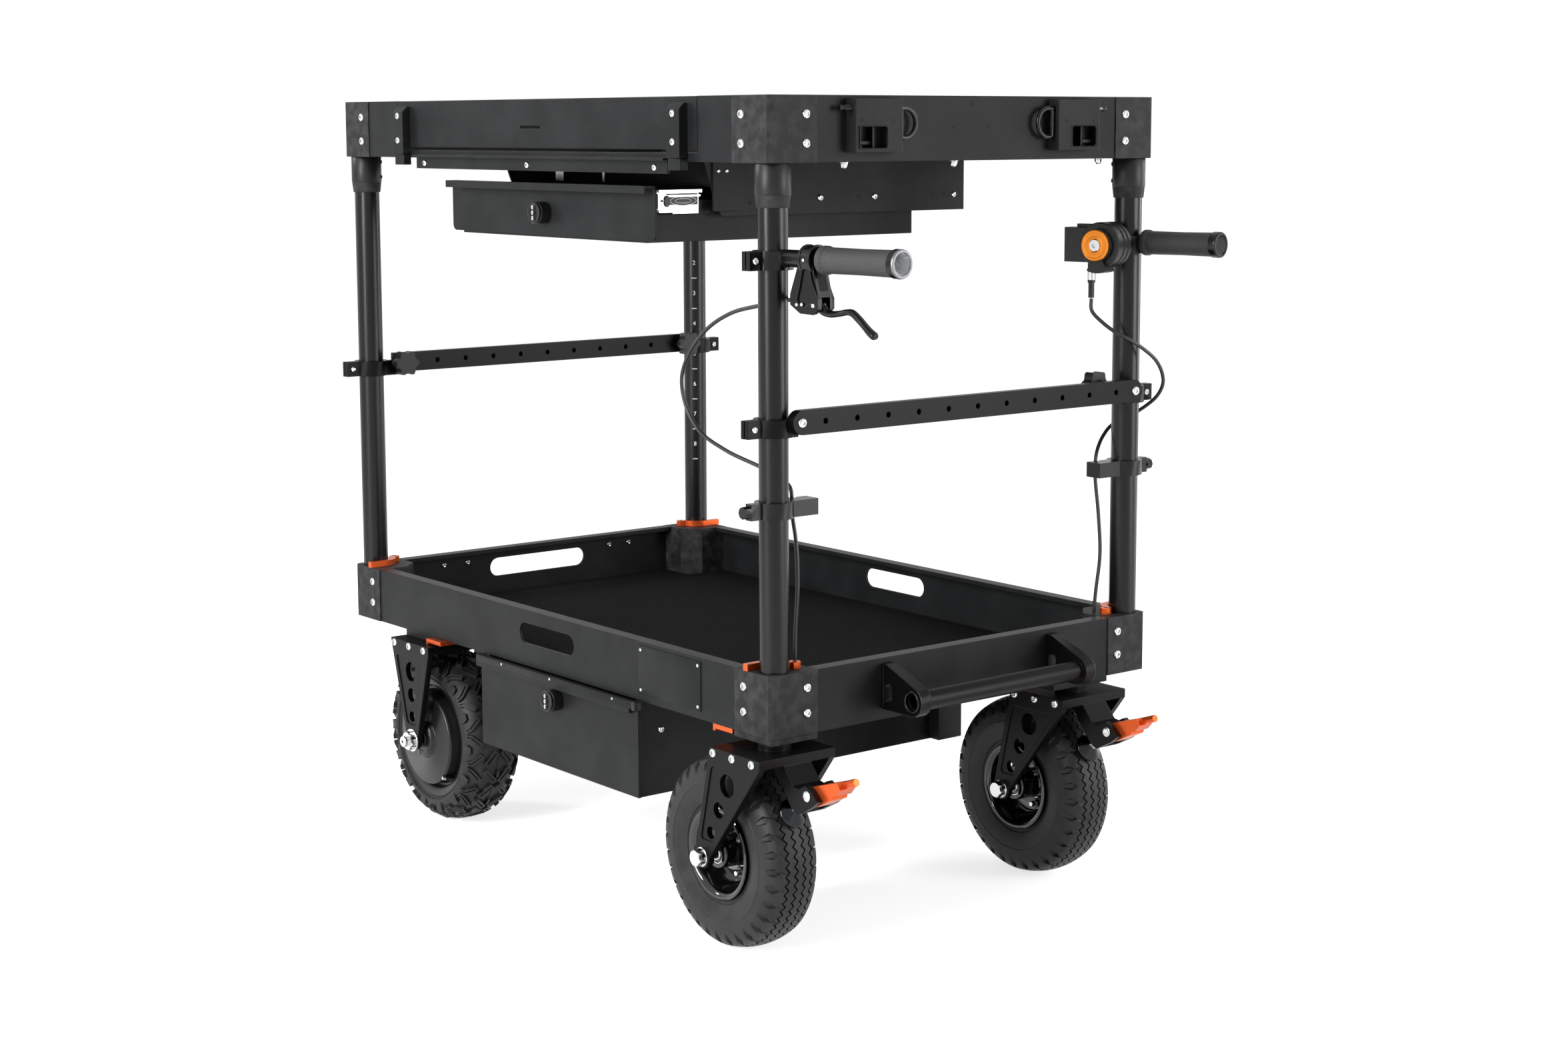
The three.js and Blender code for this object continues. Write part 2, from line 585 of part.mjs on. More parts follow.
// The drop door: a panel with two clamping brackets
function dropDoor() {
  const panelTop = upperTop - fit;
  const outer = -wallY;
  const panel = block(door.from, door.to, outer, outer + door.panel, door.bottom, panelTop);
  const shape = roundRect(
    door.slotFrom, door.slotTo, door.slotZ - door.slotHeight / 2, door.slotZ + door.slotHeight / 2, door.slotHeight / 2);
  const slotCut = prism("y", shape, outer - overrun, outer + door.panel + overrun);
  const lip = block(
    door.from, door.to, outer, outer + deck.rimWidth, panelTop - deck.rimDepth, panelTop);
  let body = cut(join(panel, lip), slotCut);
  for (const from of [door.leftBracket, door.rightBracket]) {
    const top = panelTop - door.bracketInset;
    const side = outline([
      [outer, door.bracketFoot], [outer, top], [outer - door.bracketProud + door.bracketBevel, top],
      [outer - door.bracketProud, top - door.bracketBevel], [outer - door.bracketProud, door.bracketFoot],
    ]);
    body = join(body, prism("x", side, from, from + door.bracketWidth));
  }
  return body;
}

// The upper drawer: folded box, front panel with a pull lip, and the inner slide members
function upperDrawer() {
  const d = drawer;
  const back = d.back;
  const box = cut(
    block(d.left, d.right, d.frontY, back, d.bottom, d.top),
    block(d.left + d.sheet, d.right - d.sheet, d.frontY + d.sheet, back - d.sheet, d.bottom + d.sheet, d.top + overrun),
  );
  const panel = prism(
    "y", roundRect(d.frontLeft, d.frontRight, d.frontBottom, d.frontTop, d.frontCorner), d.frontY - d.frontThick, d.frontY);
  const lipShape = outline([
    [d.frontY, d.frontTop], [d.frontY, d.frontTop - d.frontThick],
    [d.frontY - d.lipOut + d.sheet, d.frontTop - d.frontThick], [d.frontY - d.lipOut + d.sheet, d.frontTop - d.lipDrop],
    [d.frontY - d.lipOut, d.frontTop - d.lipDrop], [d.frontY - d.lipOut, d.frontTop],
  ]);
  const lip = prism("x", lipShape, d.lipLeft, d.lipRight);
  let body = join(box, panel, lip);
  for (const sign of [-1, 1]) {
    const x = [sign * d.right, sign * (d.right + slide.channel + slide.wall)].sort((p, q) => p - q);
    body = join(body, block(x[0], x[1], d.frontY, back, slide.bottom + slide.wall, slide.top - slide.wall));
  }
  const bore = drum("y", lock.pinRadius + fit, d.frontY - d.frontThick - overrun, d.frontY + d.sheet + overrun, lock.upperX, lock.upperZ);
  return cut(body, bore);
}

// A code lock's round knob on its pin
function lockKnob(x, z, face, reach) {
  const l = lock;
  return turned("y", [
    [0, face - fit - l.deep], [l.radius - l.edge, face - fit - l.deep], [l.radius, face - fit - l.deep + l.edge],
    [l.radius, face - fit], [l.pinRadius, face - fit], [l.pinRadius, face + reach], [0, face + reach],
  ], x, z);
}

function lowerCabinet() {
  const c = cabinet;
  const shell = cut(
    block(c.left, c.right, c.front, c.back, c.bottom, lower.z - fit),
    block(c.left + c.sheet, c.right - c.sheet, c.front - overrun, c.back - c.sheet, c.bottom + c.sheet, lower.z + overrun),
  );
  const flange = cut(
    block(c.left, c.right, c.front, c.back, lower.z - fit - c.sheet, lower.z - fit),
    block(c.left + bin.gap, c.right - bin.gap, c.front - overrun, c.back - bin.gap, lower.z - overrun * 2, lower.z + overrun),
  );
  return join(shell, flange, block(c.boxLeft, c.boxRight, c.back, c.boxBack, c.bottom, c.boxTop));
}

function lowerDrawer() {
  const c = cabinet;
  const face = c.front - fit;
  const [x0, x1] = [c.left + c.sheet + bin.gap, c.right - c.sheet - bin.gap];
  const [z0, z1] = [c.bottom + c.sheet + bin.gap, bin.top];
  const back = c.back - c.sheet - bin.gap;
  const box = cut(
    block(x0, x1, face, back, z0, z1),
    block(x0 + bin.sheet, x1 - bin.sheet, face + bin.sheet, back - bin.sheet, z0 + bin.sheet, z1 + overrun),
  );
  const panel = block(bin.panelLeft, bin.panelRight, face - bin.panelThick, face, c.bottom, bin.panelTop);
  const lip = block(
    bin.panelLeft, bin.panelRight - bin.lip, face - bin.panelThick - bin.lip, face - bin.panelThick,
    bin.panelTop - bin.lip, bin.panelTop);
  let body = join(box, panel, lip);
  const middle = (z0 + z1) / 2;
  for (const [from, to] of [[c.left + c.sheet + fit, x0], [x1, c.right - c.sheet - fit]]) {
    body = join(body, block(from, to, face, back, middle - slide.half, middle + slide.half));
  }
  const bore = drum("y", lock.pinRadius + fit, face - bin.panelThick - overrun, face + bin.sheet + overrun, lock.lowerX, lock.lowerZ);
  return cut(body, bore);
}

// Outline of a tapering fork cheek with three holes, in X and Z, round its axle
function forkCheek(left, right, top, shoulderDrop, axleX, axleZ, eye) {
  const shape = new THREE.Shape();
  shape.moveTo(left, top);
  shape.lineTo(axleX - eye, axleZ);
  shape.absarc(axleX, axleZ, eye, Math.PI, Math.PI * 2);
  shape.lineTo(right, top - shoulderDrop);
  shape.lineTo(right, top);
  const start = [(left + right) / 2, top - caster.plateThick];
  for (const hole of casterHoles) {
    const at = [start[0] + (axleX - start[0]) * hole.share, start[1] + (axleZ - start[1]) * hole.share];
    const ring = new THREE.Path();
    ring.absarc(at[0], at[1], hole.radius, 0, Math.PI * 2, true);
    shape.holes.push(ring);
  }
  return shape;
}

// The brake's bracket under the fork's plate, forked for the lever, and its round pad close to the tread
function brakeBody(stemX, y, axleX, axleZ) {
  const b = padBrake;
  const h = b.leverHalf;
  const underside = caster.plateTop - caster.plateThick + fit;
  const px = stemX + b.pivotX;
  const shape = outline([
    [stemX + caster.plateFront - fit, underside], ...bracketShares.map(([across, up]) => [px + h * across, b.pivotZ + h * up]),
    [stemX + caster.plateFront - h * 2, underside],
  ]);
  const body = prism("y", shape, y - b.half, y + b.half);
  const gapBox = block(
    px - b.forkRoom, px + b.padSteep * 2, y - h - fit, y + h + fit, b.pivotZ - b.padSteep * 2, b.pivotZ + b.padSteep * 2);
  const tilt = THREE.MathUtils.degToRad(b.padTurn);
  const rimAt = caster.tyre + b.padGap;
  const pad = new THREE.CylinderGeometry(b.padTip, b.padRadius, b.padDeep, smallSides);
  pad.translate(0, rimAt + b.padDeep / 2, 0);
  const stalk = new THREE.CylinderGeometry(b.padTip, b.padTip, b.padSteep, smallSides);
  stalk.translate(0, rimAt + b.padDeep + b.padSteep / 2 - fit, 0);
  const placed = [pad, stalk].map((geometry) => {
    geometry.rotateZ(tilt - Math.PI / 2);
    const up = geometry.rotateX(Math.PI / 2);
    return solid(up.translate(axleX, y, axleZ));
  });
  return join(cut(body, gapBox), ...placed);
}

// A caster's fork: top plate, two cheeks, axle bolt, stem and brake body
function casterFork(stemY) {
  const c = caster;
  const [x, y] = [postX, stemY];
  const axleX = x - c.trail;
  const axleZ = c.tyre;
  const cheek = forkCheek(x - c.plateBack, x + c.plateFront, c.plateTop, c.plateThick, axleX, axleZ, c.eye);
  let body = block(x - c.plateBack, x + c.plateFront, y - c.halfWidth, y + c.halfWidth, c.plateTop - c.plateThick, c.plateTop);
  body = join(
    body,
    prism("y", cheek, y - c.halfWidth, y - c.halfWidth + c.cheek, holeSteps),
    prism("y", cheek, y + c.halfWidth - c.cheek, y + c.halfWidth, holeSteps),
    drum("y", c.axle, y - c.axleEnd, y + c.axleEnd, axleX, axleZ, smallSides),
    drum("y", c.headRadius, y - c.axleEnd, y - c.halfWidth, axleX, axleZ, boltSides),
    drum("y", c.headRadius, y + c.halfWidth, y + c.axleEnd, axleX, axleZ, boltSides),
    drum("z", c.stemRadius, c.plateTop, c.baseBottom - fit, x, y),
    brakeBody(x, y, axleX, axleZ),
  );
  const px = x + padBrake.pivotX;
  return join(body, drum("y", padBrake.pinRadius, y - padBrake.half, y + padBrake.half, px, padBrake.pivotZ, smallSides));
}

// The brake's toggle lever, thick at its pin and drawn out to a round tip
function casterBrakeLever(stemY) {
  const b = padBrake;
  const [px, pz] = [postX + b.pivotX, b.pivotZ];
  const h = b.leverHalf;
  const shape = outline(brakeLeverShares.map(([across, up]) => [px + h * across, pz + h * up]));
  const side = h - fit;
  const rod = new THREE.CylinderGeometry(b.rod, b.rod, b.rodTo - b.rodFrom, smallSides);
  rod.rotateZ(b.rodTurn * degree - Math.PI / 2);
  rod.rotateX(Math.PI / 2);
  const middle = (b.rodTo - b.rodFrom) / 2;
  rod.translate(
    px + b.rodFrom + middle * Math.cos(b.rodTurn * degree), stemY, pz + b.rodRise + middle * Math.sin(b.rodTurn * degree));
  const bore = drum("y", turningBore(b.pinRadius, smallSides), stemY - b.half, stemY + b.half, px, pz, smallSides);
  return cut(join(prism("y", shape, stemY - side, stemY + side), solid(rod)), bore);
}

function driveFork(side) {
  const d = drive;
  const y = side * d.y;
  const cheek = forkCheek(d.plateLeft, d.plateRight, d.plateTop, d.plateThick, d.x, d.tyre, d.eye);
  return join(
    block(d.plateLeft, d.plateRight, y - d.halfWidth, y + d.halfWidth, d.plateTop - d.plateThick, d.plateTop),
    prism("y", cheek, y - d.halfWidth, y - d.halfWidth + d.cheek, holeSteps),
    prism("y", cheek, y + d.halfWidth - d.cheek, y + d.halfWidth, holeSteps),
    drum("y", d.studRadius, y - d.stud, y + d.stud, d.x, d.tyre, smallSides),
    drum("y", d.nutRadius, y - d.halfWidth - d.nut, y - d.halfWidth, d.x, d.tyre, boltSides),
    drum("y", d.nutRadius, y + d.halfWidth, y + d.halfWidth + d.nut, d.x, d.tyre, boltSides),
  );
}

// A two-piece steel rim, turned about its axle
function steelRim(x, y, z) {
  const r = rim;
  const bore = caster.axle + r.bore;
  const profile = [
    [bore, -r.hubHalf], [r.hubRadius, -r.hubHalf], [r.hubRadius, -r.disc], [r.seat - r.wall, -r.disc],
    [r.seat - r.wall, -r.barrelHalf], [r.flange, -r.barrelHalf - r.flangeWide], [r.seat, -r.barrelHalf + r.flangeWide],
    [r.seat, r.barrelHalf - r.flangeWide], [r.flange, r.barrelHalf + r.flangeWide], [r.seat - r.wall, r.barrelHalf],
    [r.seat - r.wall, r.disc], [r.hubRadius, r.disc], [r.hubRadius, r.hubHalf], [bore, r.hubHalf],
  ];
  profile.push(profile[0]);
  return turned("y", profile.map(([radius, station]) => [radius, station + y]), x, z, wheelSides);
}

// A driven wheel's motor, its barrel, covers and hub bosses turned about the stud
function hubMotor(x, y, z) {
  const d = drive;
  const bore = d.studRadius + rim.bore;
  const edge = d.width / 2 - rim.flangeWide;
  const lip = rim.flangeWide;
  const half = [
    [d.rim, edge], [d.rim - lip, edge - lip], [d.coverRadius, edge - lip], [d.coverRadius - lip, d.coverHalf],
    [d.hubRadius, d.coverHalf], [d.hubRadius, d.hubHalf], [bore, d.hubHalf],
  ];
  const other = half.map(([radius, station]) => [radius, -station]).reverse();
  const ring = [...other, ...half].map(([radius, station]) => [radius, station + y]);
  ring.push(ring[0]);
  return turned("y", ring, x, z, wheelSides);
}

// A pneumatic tyre: open-backed section turned about the axle, its tread waved or lugged by a formula
function tyre(x, y, z, radius, width, seat, waves, waveSize, steps) {
  const w = width / 2;
  const t = tyreWall;
  const g = tread.groove;
  const s = tyreShares;
  const outer = [
    [seat, -w * s.bead], [(seat + radius) / 2, -w], [radius - t, -w * s.shoulder], [radius, -w * s.crown],
    [radius, -w * s.grooveOut], [radius - g, -w * s.grooveIn], [radius - g, w * s.grooveIn], [radius, w * s.grooveOut],
    [radius, w * s.crown], [radius - t, w * s.shoulder], [(seat + radius) / 2, w], [seat, w * s.bead],
  ];
  const inner = [[seat, w * s.inside], [radius - t - g, w * s.crown], [radius - t - g, -w * s.crown], [seat, -w * s.inside]];
  const ring = [...outer, ...inner];
  const count = ring.length;
  const positions = [];
  for (let i = 0; i < steps; i += 1) {
    const angle = (i / steps) * Math.PI * 2;
    const swing = waves ? ((i % 2) * 2 - 1) * waveSize : 0;
    ring.forEach(([r, s], index) => {
      const moved = index >= tread.from && index <= tread.to ? s + swing : s;
      positions.push(x + r * Math.cos(angle), y + moved, z + r * Math.sin(angle));
    });
  }
  const faces = [];
  for (let i = 0; i < steps; i += 1) {
    const next = (i + 1) % steps;
    for (let j = 0; j < count; j += 1) {
      const k = (j + 1) % count;
      faces.push(i * count + j, next * count + j, i * count + k);
      faces.push(i * count + k, next * count + j, next * count + k);
    }
  }
  const made = new THREE.BufferGeometry();
  made.setAttribute("position", new THREE.BufferAttribute(new Float32Array(positions), 3));
  made.setIndex(faces);
  return solid(made);
}


// A split clamp band round a post, with its bolted ear pointing out along Y
function clampBand(x, y, bottom, height, outSign) {
  const top = bottom + height;
  const ear = [y + outSign * post.radius, y + outSign * (post.radius + band.wall + band.earLong)].sort((p, q) => p - q);
  const split = block(x - running, x + running, Math.min(ear[0], y), Math.max(ear[1], y), bottom - overrun, top + overrun);
  const body = join(
    drum("z", post.radius + band.wall, bottom, top, x, y),
    block(x - band.earHalf, x + band.earHalf, ear[0], ear[1], bottom, top),
  );
  return { body, split, bore: drum("z", bandBore, bottom - overrun, top + overrun, x, y) };
}

function endRailSolid() {
  const e = endRail;
  const [z0, z1] = [e.z - e.height / 2, e.z + e.height / 2];
  let body = prism("x", roundRect(-e.end, e.end, z0, z1, e.height / 2), e.face - e.thick, e.face);
  const cutters = [];
  for (let i = 0; i < e.holes; i += 1) {
    const y = (i - (e.holes - 1) / 2) * e.pitch;
    cutters.push(drum("x", e.hole, e.face - e.holeDepth, e.face + overrun, y, e.z, boltSides));
  }
  for (const side of [-1, 1]) {
    const clamp = clampBand(postX, side * postY, band.z - band.height / 2, band.height, side);
    const y = [side * (postY - e.armHalf * 2), side * postY].sort((p, q) => p - q);
    const arm = block(postX, e.face - e.thick, y[0], y[1], band.z - band.height / 2, band.z + band.height / 2);
    body = join(body, clamp.body, arm);
    cutters.push(clamp.bore, clamp.split);
  }
  return cut(body, ...cutters);
}

function leftRailSolid() {
  const l = leftRail;
  const [z0, z1] = [l.z - l.height / 2, l.z + l.height / 2];
  let body = block(l.face - l.thick, l.face, -l.end, l.end, z0, z1);
  const cutters = [];
  for (let i = 0; i < l.holes; i += 1) {
    const y = (i - (l.holes - 1) / 2) * l.pitch;
    cutters.push(drum("x", l.hole, l.face - l.holeDepth, l.face + overrun, y, l.z, boltSides));
  }
  for (const side of [-1, 1]) {
    const clamp = clampBand(-postX, side * postY, band.z - band.height / 2, band.height, side);
    const y = [side * (l.end - l.armHalf), side * postY].sort((p, q) => p - q);
    const arm = block(l.face - l.thick, l.face, y[0], y[1], band.z - band.height / 2, band.z + band.height / 2);
    body = join(body, clamp.body, arm);
    cutters.push(clamp.bore, clamp.split);
    cutters.push(drum("x", star.shankRadius / 2 + fit, l.face - l.thick / 2, l.face + overrun, side * star.y, l.z, smallSides));
  }
  return cut(body, ...cutters);
}

// A lobed hand knob on its shank, its axis along X
function starKnob(face, out, y, z) {
  const s = star;
  const shape = new THREE.Shape();
  const points = s.lobes * s.pointsEach;
  for (let i = 0; i < points; i += 1) {
    const angle = (i / points) * Math.PI * 2;
    const r = s.radius + s.lobe * Math.cos(angle * s.lobes);
    const [a, b] = [y + r * Math.cos(angle), z + r * Math.sin(angle)];
    if (i === 0) shape.moveTo(a, b);
    else shape.lineTo(a, b);
  }
  shape.closePath();
  const near = face + out * (s.shank + fit);
  const far = near + out * s.deep;
  const x = [near, far].sort((p, q) => p - q);
  const neck = [face + out * fit, near].sort((p, q) => p - q);
  return join(prism("x", shape, x[0], x[1]), drum("x", s.shankRadius, neck[0], neck[1], y, z, smallSides));
}

// The tow bar: a tube held by two tapering brackets on the lower deck's end wall
function towHandle() {
  const t = tow;
  const wall = wallX + fit;
  const ringX = wall + t.ringX;
  const shape = new THREE.Shape();
  shape.moveTo(wall, t.bottom);
  shape.lineTo(wall, t.top);
  shape.lineTo(wall + t.ringRadius / 2, t.top);
  shape.absarc(ringX, t.ringZ, t.ringRadius, t.shoulderTurn * degree, -Math.PI / 2, true);
  shape.lineTo(wall + t.ringRadius / 2, t.bottom);
  const hole = roundRect(
    wall + t.base, wall + t.base + t.windowWide * 2, t.ringZ - t.windowHalf, t.ringZ + t.windowHalf + t.base, t.windowWide);
  shape.holes.push(new THREE.Path(hole.getPoints(arcSteps).reverse()));
  const body = join(
    prism("y", shape, t.left, t.left + t.plate),
    prism("y", shape, t.right - t.plate, t.right),
    drum("y", t.tube, t.left, t.right, ringX, t.ringZ),
  );
  return cut(
    body,
    drum("y", t.tubeBore, t.left - overrun, t.right + overrun, ringX, t.ringZ),
    drum("y", t.cup, t.left - overrun, t.left + t.cupDeep, ringX, t.ringZ),
    drum("y", t.cup, t.right - t.cupDeep, t.right + overrun, ringX, t.ringZ),
  );
}

// The next pieces are made in a handle's own frame: X along its grip, Y to its left, from the post's axis

function barClamp(outSign) {
  const clamp = clampBand(0, 0, grip.bandBottom, grip.bandHeight, outSign);
  return clamp;
}

function brakeMount() {
  const p = perch;
  const clamp = barClamp(-1);
  const bar = drum("x", grip.bar, 0, grip.doorTo - grip.end - fit, 0, grip.z);
  const ring = drum("x", p.ring, p.from, p.to, 0, grip.z);
  const armShape = outline([
    [p.from, grip.z], [p.to, grip.z], [p.pivotX + p.pivotRadius, p.pivotZ + p.pivotRadius],
    [p.pivotX + p.pivotRadius, p.pivotZ - p.pin], [p.pivotX, p.pivotZ - p.pivotRadius], [p.from, p.bodyBottom],
    [p.barrelFrom, p.barrelZ - p.barrelRadius], [p.barrelFrom, p.barrelZ + p.barrelRadius],
  ]);
  const arm = prism("y", armShape, -p.cheekHalf, p.cheekHalf);
  const mouth = block(
    p.pivotX - p.pivotRadius - p.pin, p.pivotX + p.pivotRadius * 2, -p.slotHalf, p.slotHalf,
    p.bodyBottom - overrun, p.pivotZ + p.pivotRadius + p.pin);
  const barrelShape = block(p.barrelTo, p.barrelFrom + p.arm, p.cheekHalf - fit, p.barrelY, p.barrelZ - p.barrelRadius, p.barrelZ + p.barrelRadius);
  const barrel = drum("x", p.barrelRadius, p.barrelTo, p.barrelFrom, p.barrelY, p.barrelZ, smallSides);
  const pin = drum("y", p.pin, -p.cheekHalf, p.cheekHalf, p.pivotX, p.pivotZ, smallSides);
  const body = join(cut(join(clamp.body, bar, ring, arm), mouth), barrelShape, barrel, pin);
  return cut(body, clamp.bore, clamp.split);
}

// The brake's hand lever: an eye on its pin and a blade that hooks down at its tip
function handLever() {
  const p = perch;
  const shape = new THREE.Shape();
  const [x, z] = [p.pivotX, p.pivotZ];
  const r = p.pivotRadius;
  const b = bladeShares;
  shape.moveTo(x - r, z);
  shape.absarc(x, z, r, Math.PI, Math.PI / 2, true);
  shape.lineTo(x + r * b.rootX, z + r * b.rootZ);
  shape.quadraticCurveTo(x + r * b.bendX, z + r * b.bendTop, x + r * b.tipX, z + r * b.tipTop);
  shape.absarc(x + r * b.tipX, z + r * b.tipMiddle, r * b.tipEnd, Math.PI / 2, -Math.PI / 2, true);
  shape.quadraticCurveTo(x + r * b.bendX, z + r * b.bendUnder, x + r * b.neckX, z + r * b.neckZ);
  shape.lineTo(x, z - r);
  shape.absarc(x, z, r, -Math.PI / 2, -Math.PI, true);
  const lever = prism("y", shape, -blade.half, blade.half, arcSteps * 2);
  return cut(lever, drum("y", turningBore(p.pin, smallSides), -p.cheekHalf, p.cheekHalf, x, z, smallSides));
}

// A sleeve grip closed at its end, with a lock ring
function gripSleeve(from, to) {
  const body = join(
    drum("x", grip.outer, from, to, 0, grip.z),
    drum("x", grip.outer + grip.ringProud, from, from + grip.ring, 0, grip.z),
    drum("x", grip.outer + grip.ringProud, to - grip.ring * 2, to - grip.ring, 0, grip.z),
  );
  return cut(body, drum("x", grip.bar + fit, from - overrun, to - grip.end, 0, grip.z));
}

function throttleMount() {
  const t = throttle;
  const clamp = barClamp(1);
  const boxBody = block(t.boxLeft, t.axisX, -t.boxTo, -t.boxFrom, t.boxBottom, t.boxTop);
  const buttonMiddle = -(t.boxFrom + t.boxTo) / 2;
  const pocket = block(
    t.buttonLeft - fit, t.buttonRight + fit, buttonMiddle - t.buttonHalf - fit, buttonMiddle + t.buttonHalf + fit,
    t.boxTop - t.buttonSunk - t.buttonTravel - fit, t.boxTop + overrun);
  const body = join(
    clamp.body,
    drum("x", grip.bar, 0, grip.farTo - grip.end - fit, 0, grip.z),
    drum("y", t.neck, -t.bodyFrom, 0, t.axisX, t.z),
    drum("y", t.bodyRadius, -t.bodyTo, -t.bodyFrom, t.axisX, t.z, smallSides),
    boxBody,
    drum("z", t.plugRadius, t.plugBottom, t.boxBottom, t.plugX, buttonMiddle, smallSides),
    drum("z", t.bootRadius, t.bootBottom, t.plugBottom, t.plugX, buttonMiddle, smallSides),
  );
  const bore = drum("z", bandBore, grip.bandBottom - t.neck, grip.bandBottom + grip.bandHeight + t.neck, 0, 0);
  return cut(body, bore, clamp.split, pocket);
}

// The thumb dial: a disc with a paddle that hangs over the body's underside
function throttleDial() {
  const t = throttle;
  const disc = drum("y", t.discRadius, -t.discTo, -t.bodyTo - fit, t.axisX, t.z);
  const reach = new THREE.Shape();
  const a = t.paddleHalfAngle * degree;
  reach.moveTo(t.axisX, t.z);
  reach.lineTo(t.axisX - t.paddleRadius * Math.sin(a), t.z - t.paddleRadius * Math.cos(a));
  reach.absarc(t.axisX, t.z, t.paddleRadius, -Math.PI / 2 - a, -Math.PI / 2 + a);
  const wing = prism("y", reach, -t.discTo + running, -t.bodyTo - fit);
  const paddle = cut(
    prism("y", reach, -t.discTo + running, -t.paddleFrom),
    drum("y", t.bodyRadius + fit * 2, -t.discTo - overrun, -t.paddleFrom + overrun, t.axisX, t.z),
  );
  return join(disc, wing, paddle);
}

function throttleButton() {
  const t = throttle;
  const middle = -(t.boxFrom + t.boxTo) / 2;
  return block(
    t.buttonLeft, t.buttonRight, middle - t.buttonHalf, middle + t.buttonHalf, t.boxTop - t.buttonSunk,
    t.boxTop + t.buttonProud);
}

// A ring pin: rod through its socket and a D of wire to pull on, its flat side against the socket
function ringPinSolid(side) {
  const r = ringPin;
  const x = wallX + socket.proud - socket.boreIn;
  const z = socket.boreZ;
  const middle = socket.near - r.ringOut;
  const height = z - r.ring + r.wire;
  const bow = (radius, flat) => {
    const turn = Math.acos(flat / radius);
    const points = [];
    for (let i = 0; i <= r.arcSteps; i += 1) {
      const angle = turn + (i / r.arcSteps) * (Math.PI - turn) * 2;
      points.push(new THREE.Vector2(side * (middle + radius * Math.cos(angle)), height + radius * Math.sin(angle)));
    }
    return points;
  };
  const loop = new THREE.Shape(bow(r.ring, r.ringOut - fit));
  loop.holes.push(new THREE.Path(bow(r.ring - r.wire * 2, r.ringOut - fit - r.wire * 2)));
  const rod = [side * middle, side * (socket.far + r.tip)].sort((p, q) => p - q);
  return join(
    drum("y", r.rodRadius, rod[0], rod[1], x, z, smallSides),
    prism("x", loop, x - r.wire, x + r.wire),
  );
}

// A post clamp's lever, lying on a lower casting round the inner side of its post
function clampLeverSolid(sx, sy) {
  const c = clampLever;
  const r0 = post.radius + c.inner;
  const r1 = r0 + c.wide;
  const shape = new THREE.Shape();
  const toward = Math.PI / 2;
  shape.absarc(0, 0, r1, toward, Math.PI, false);
  shape.lineTo(-r1, -c.tail);
  shape.lineTo(-r0, -c.tail);
  shape.lineTo(-r0, 0);
  shape.absarc(0, 0, r0, Math.PI, toward, true);
  const bottom = lowerTop + fit;
  let body = join(
    prism("z", shape, bottom, bottom + c.thick),
    drum("z", c.eye, bottom, bottom + c.thick, 0, c.eyeAt - c.eye / 2, smallSides),
  );
  const bore = drum(
    "z", turningBore(c.pin, smallSides), bottom - overrun, bottom + c.thick + overrun, 0, c.eyeAt - c.eye / 2, smallSides);
  body = cut(body, bore);
  return body.scale([sx, -sy, 1]).translate([sx * postX, sy * postY, 0]);
}

function clampPin(sx, sy) {
  const c = clampLever;
  return drum("z", c.pin, lowerTop - fit, lowerTop + fit + c.thick, sx * postX, sy * (postY - c.eyeAt + c.eye / 2), smallSides);
}

// A release lever under the lower deck: an arm from its pin out along Y, and a tab bent towards the drive end
function releaseLever(x, y, side) {
  const r = release;
  const top = lower.z - fit;
  const bottom = top - r.thick;
  const w = r.wide / 2;
  const end = y + side * r.long;
  const arm = [y, end].sort((p, q) => p - q);
  const tab = [end, end - side * r.wide].sort((p, q) => p - q);
  const body = join(
    drum("z", r.eye, bottom, top, x, y, smallSides),
    block(x - w, x + w, arm[0], arm[1], bottom, top),
    block(x - r.tabLong, x + w, tab[0], tab[1], bottom, top),
    block(x - r.tabLong, x - r.tabLong + r.drop / 2, tab[0], tab[1], top - r.drop, top),
  );
  return cut(body, drum("z", turningBore(r.pin, smallSides), bottom - overrun, top + overrun, x, y, smallSides));
}

// Building the cart
const trayLow = lowerTray();
const releases = [];
const casterReleaseX = postX - caster.baseBack - release.eye - running;
releases.push(["handle_door", casterReleaseX, -wallY + release.long, -1]);
releases.push(["handle_far", casterReleaseX, caster.farStemY - release.long / 2, 1]);
for (const [name, side] of [["drive_door", -1], ["drive_far", 1]]) {
  const x = drive.plateRight + release.eye + running;
  releases.push([name, x, side * (drive.baseFront - release.long + release.wide + running), side]);
}
const releasePins = releases.map(([, x, y]) =>
  drum("z", release.pin, lower.z - fit - release.thick, lower.z + fit, x, y, smallSides));
piece("lower_tray", join(trayLow, ...releasePins), finish.satinBlack);
piece("upper_tray", upperTray(), finish.satinBlack);

for (const [name, sx, sy] of corners) {
  piece(`lower_corner_${name}`, join(lowerCasting(sx, sy), clampPin(sx, sy)), finish.moulded);
  piece(`upper_corner_${name}`, upperCasting(sx, sy), finish.moulded);
  piece(`post_${name}`, postTube(sx, sy), finish.anodised);
  piece(`post_clamp_lever_${name}`, clampLeverSolid(sx, sy), finish.orange);
}
for (const [name, x, y, side] of releases) {
  piece(`wheel_release_lever_${name}`, releaseLever(x, y, side), finish.orange);
}

const matX = wallX - deck.wall - mat.margin;
const matY = wallY - deck.wall - mat.margin;
const matFloor = lower.z + deck.floor + fit;
const matNotches = corners.map(([, sx, sy]) => cornerBlock(
  sx, sy, half.x - casting.leg - mat.margin, half.x, half.y - casting.leg - mat.margin, half.y, lower.z, lowerTop));
piece("lower_mat", cut(block(-matX, matX, -matY, matY, matFloor, matFloor + mat.thick), ...matNotches), finish.felt);

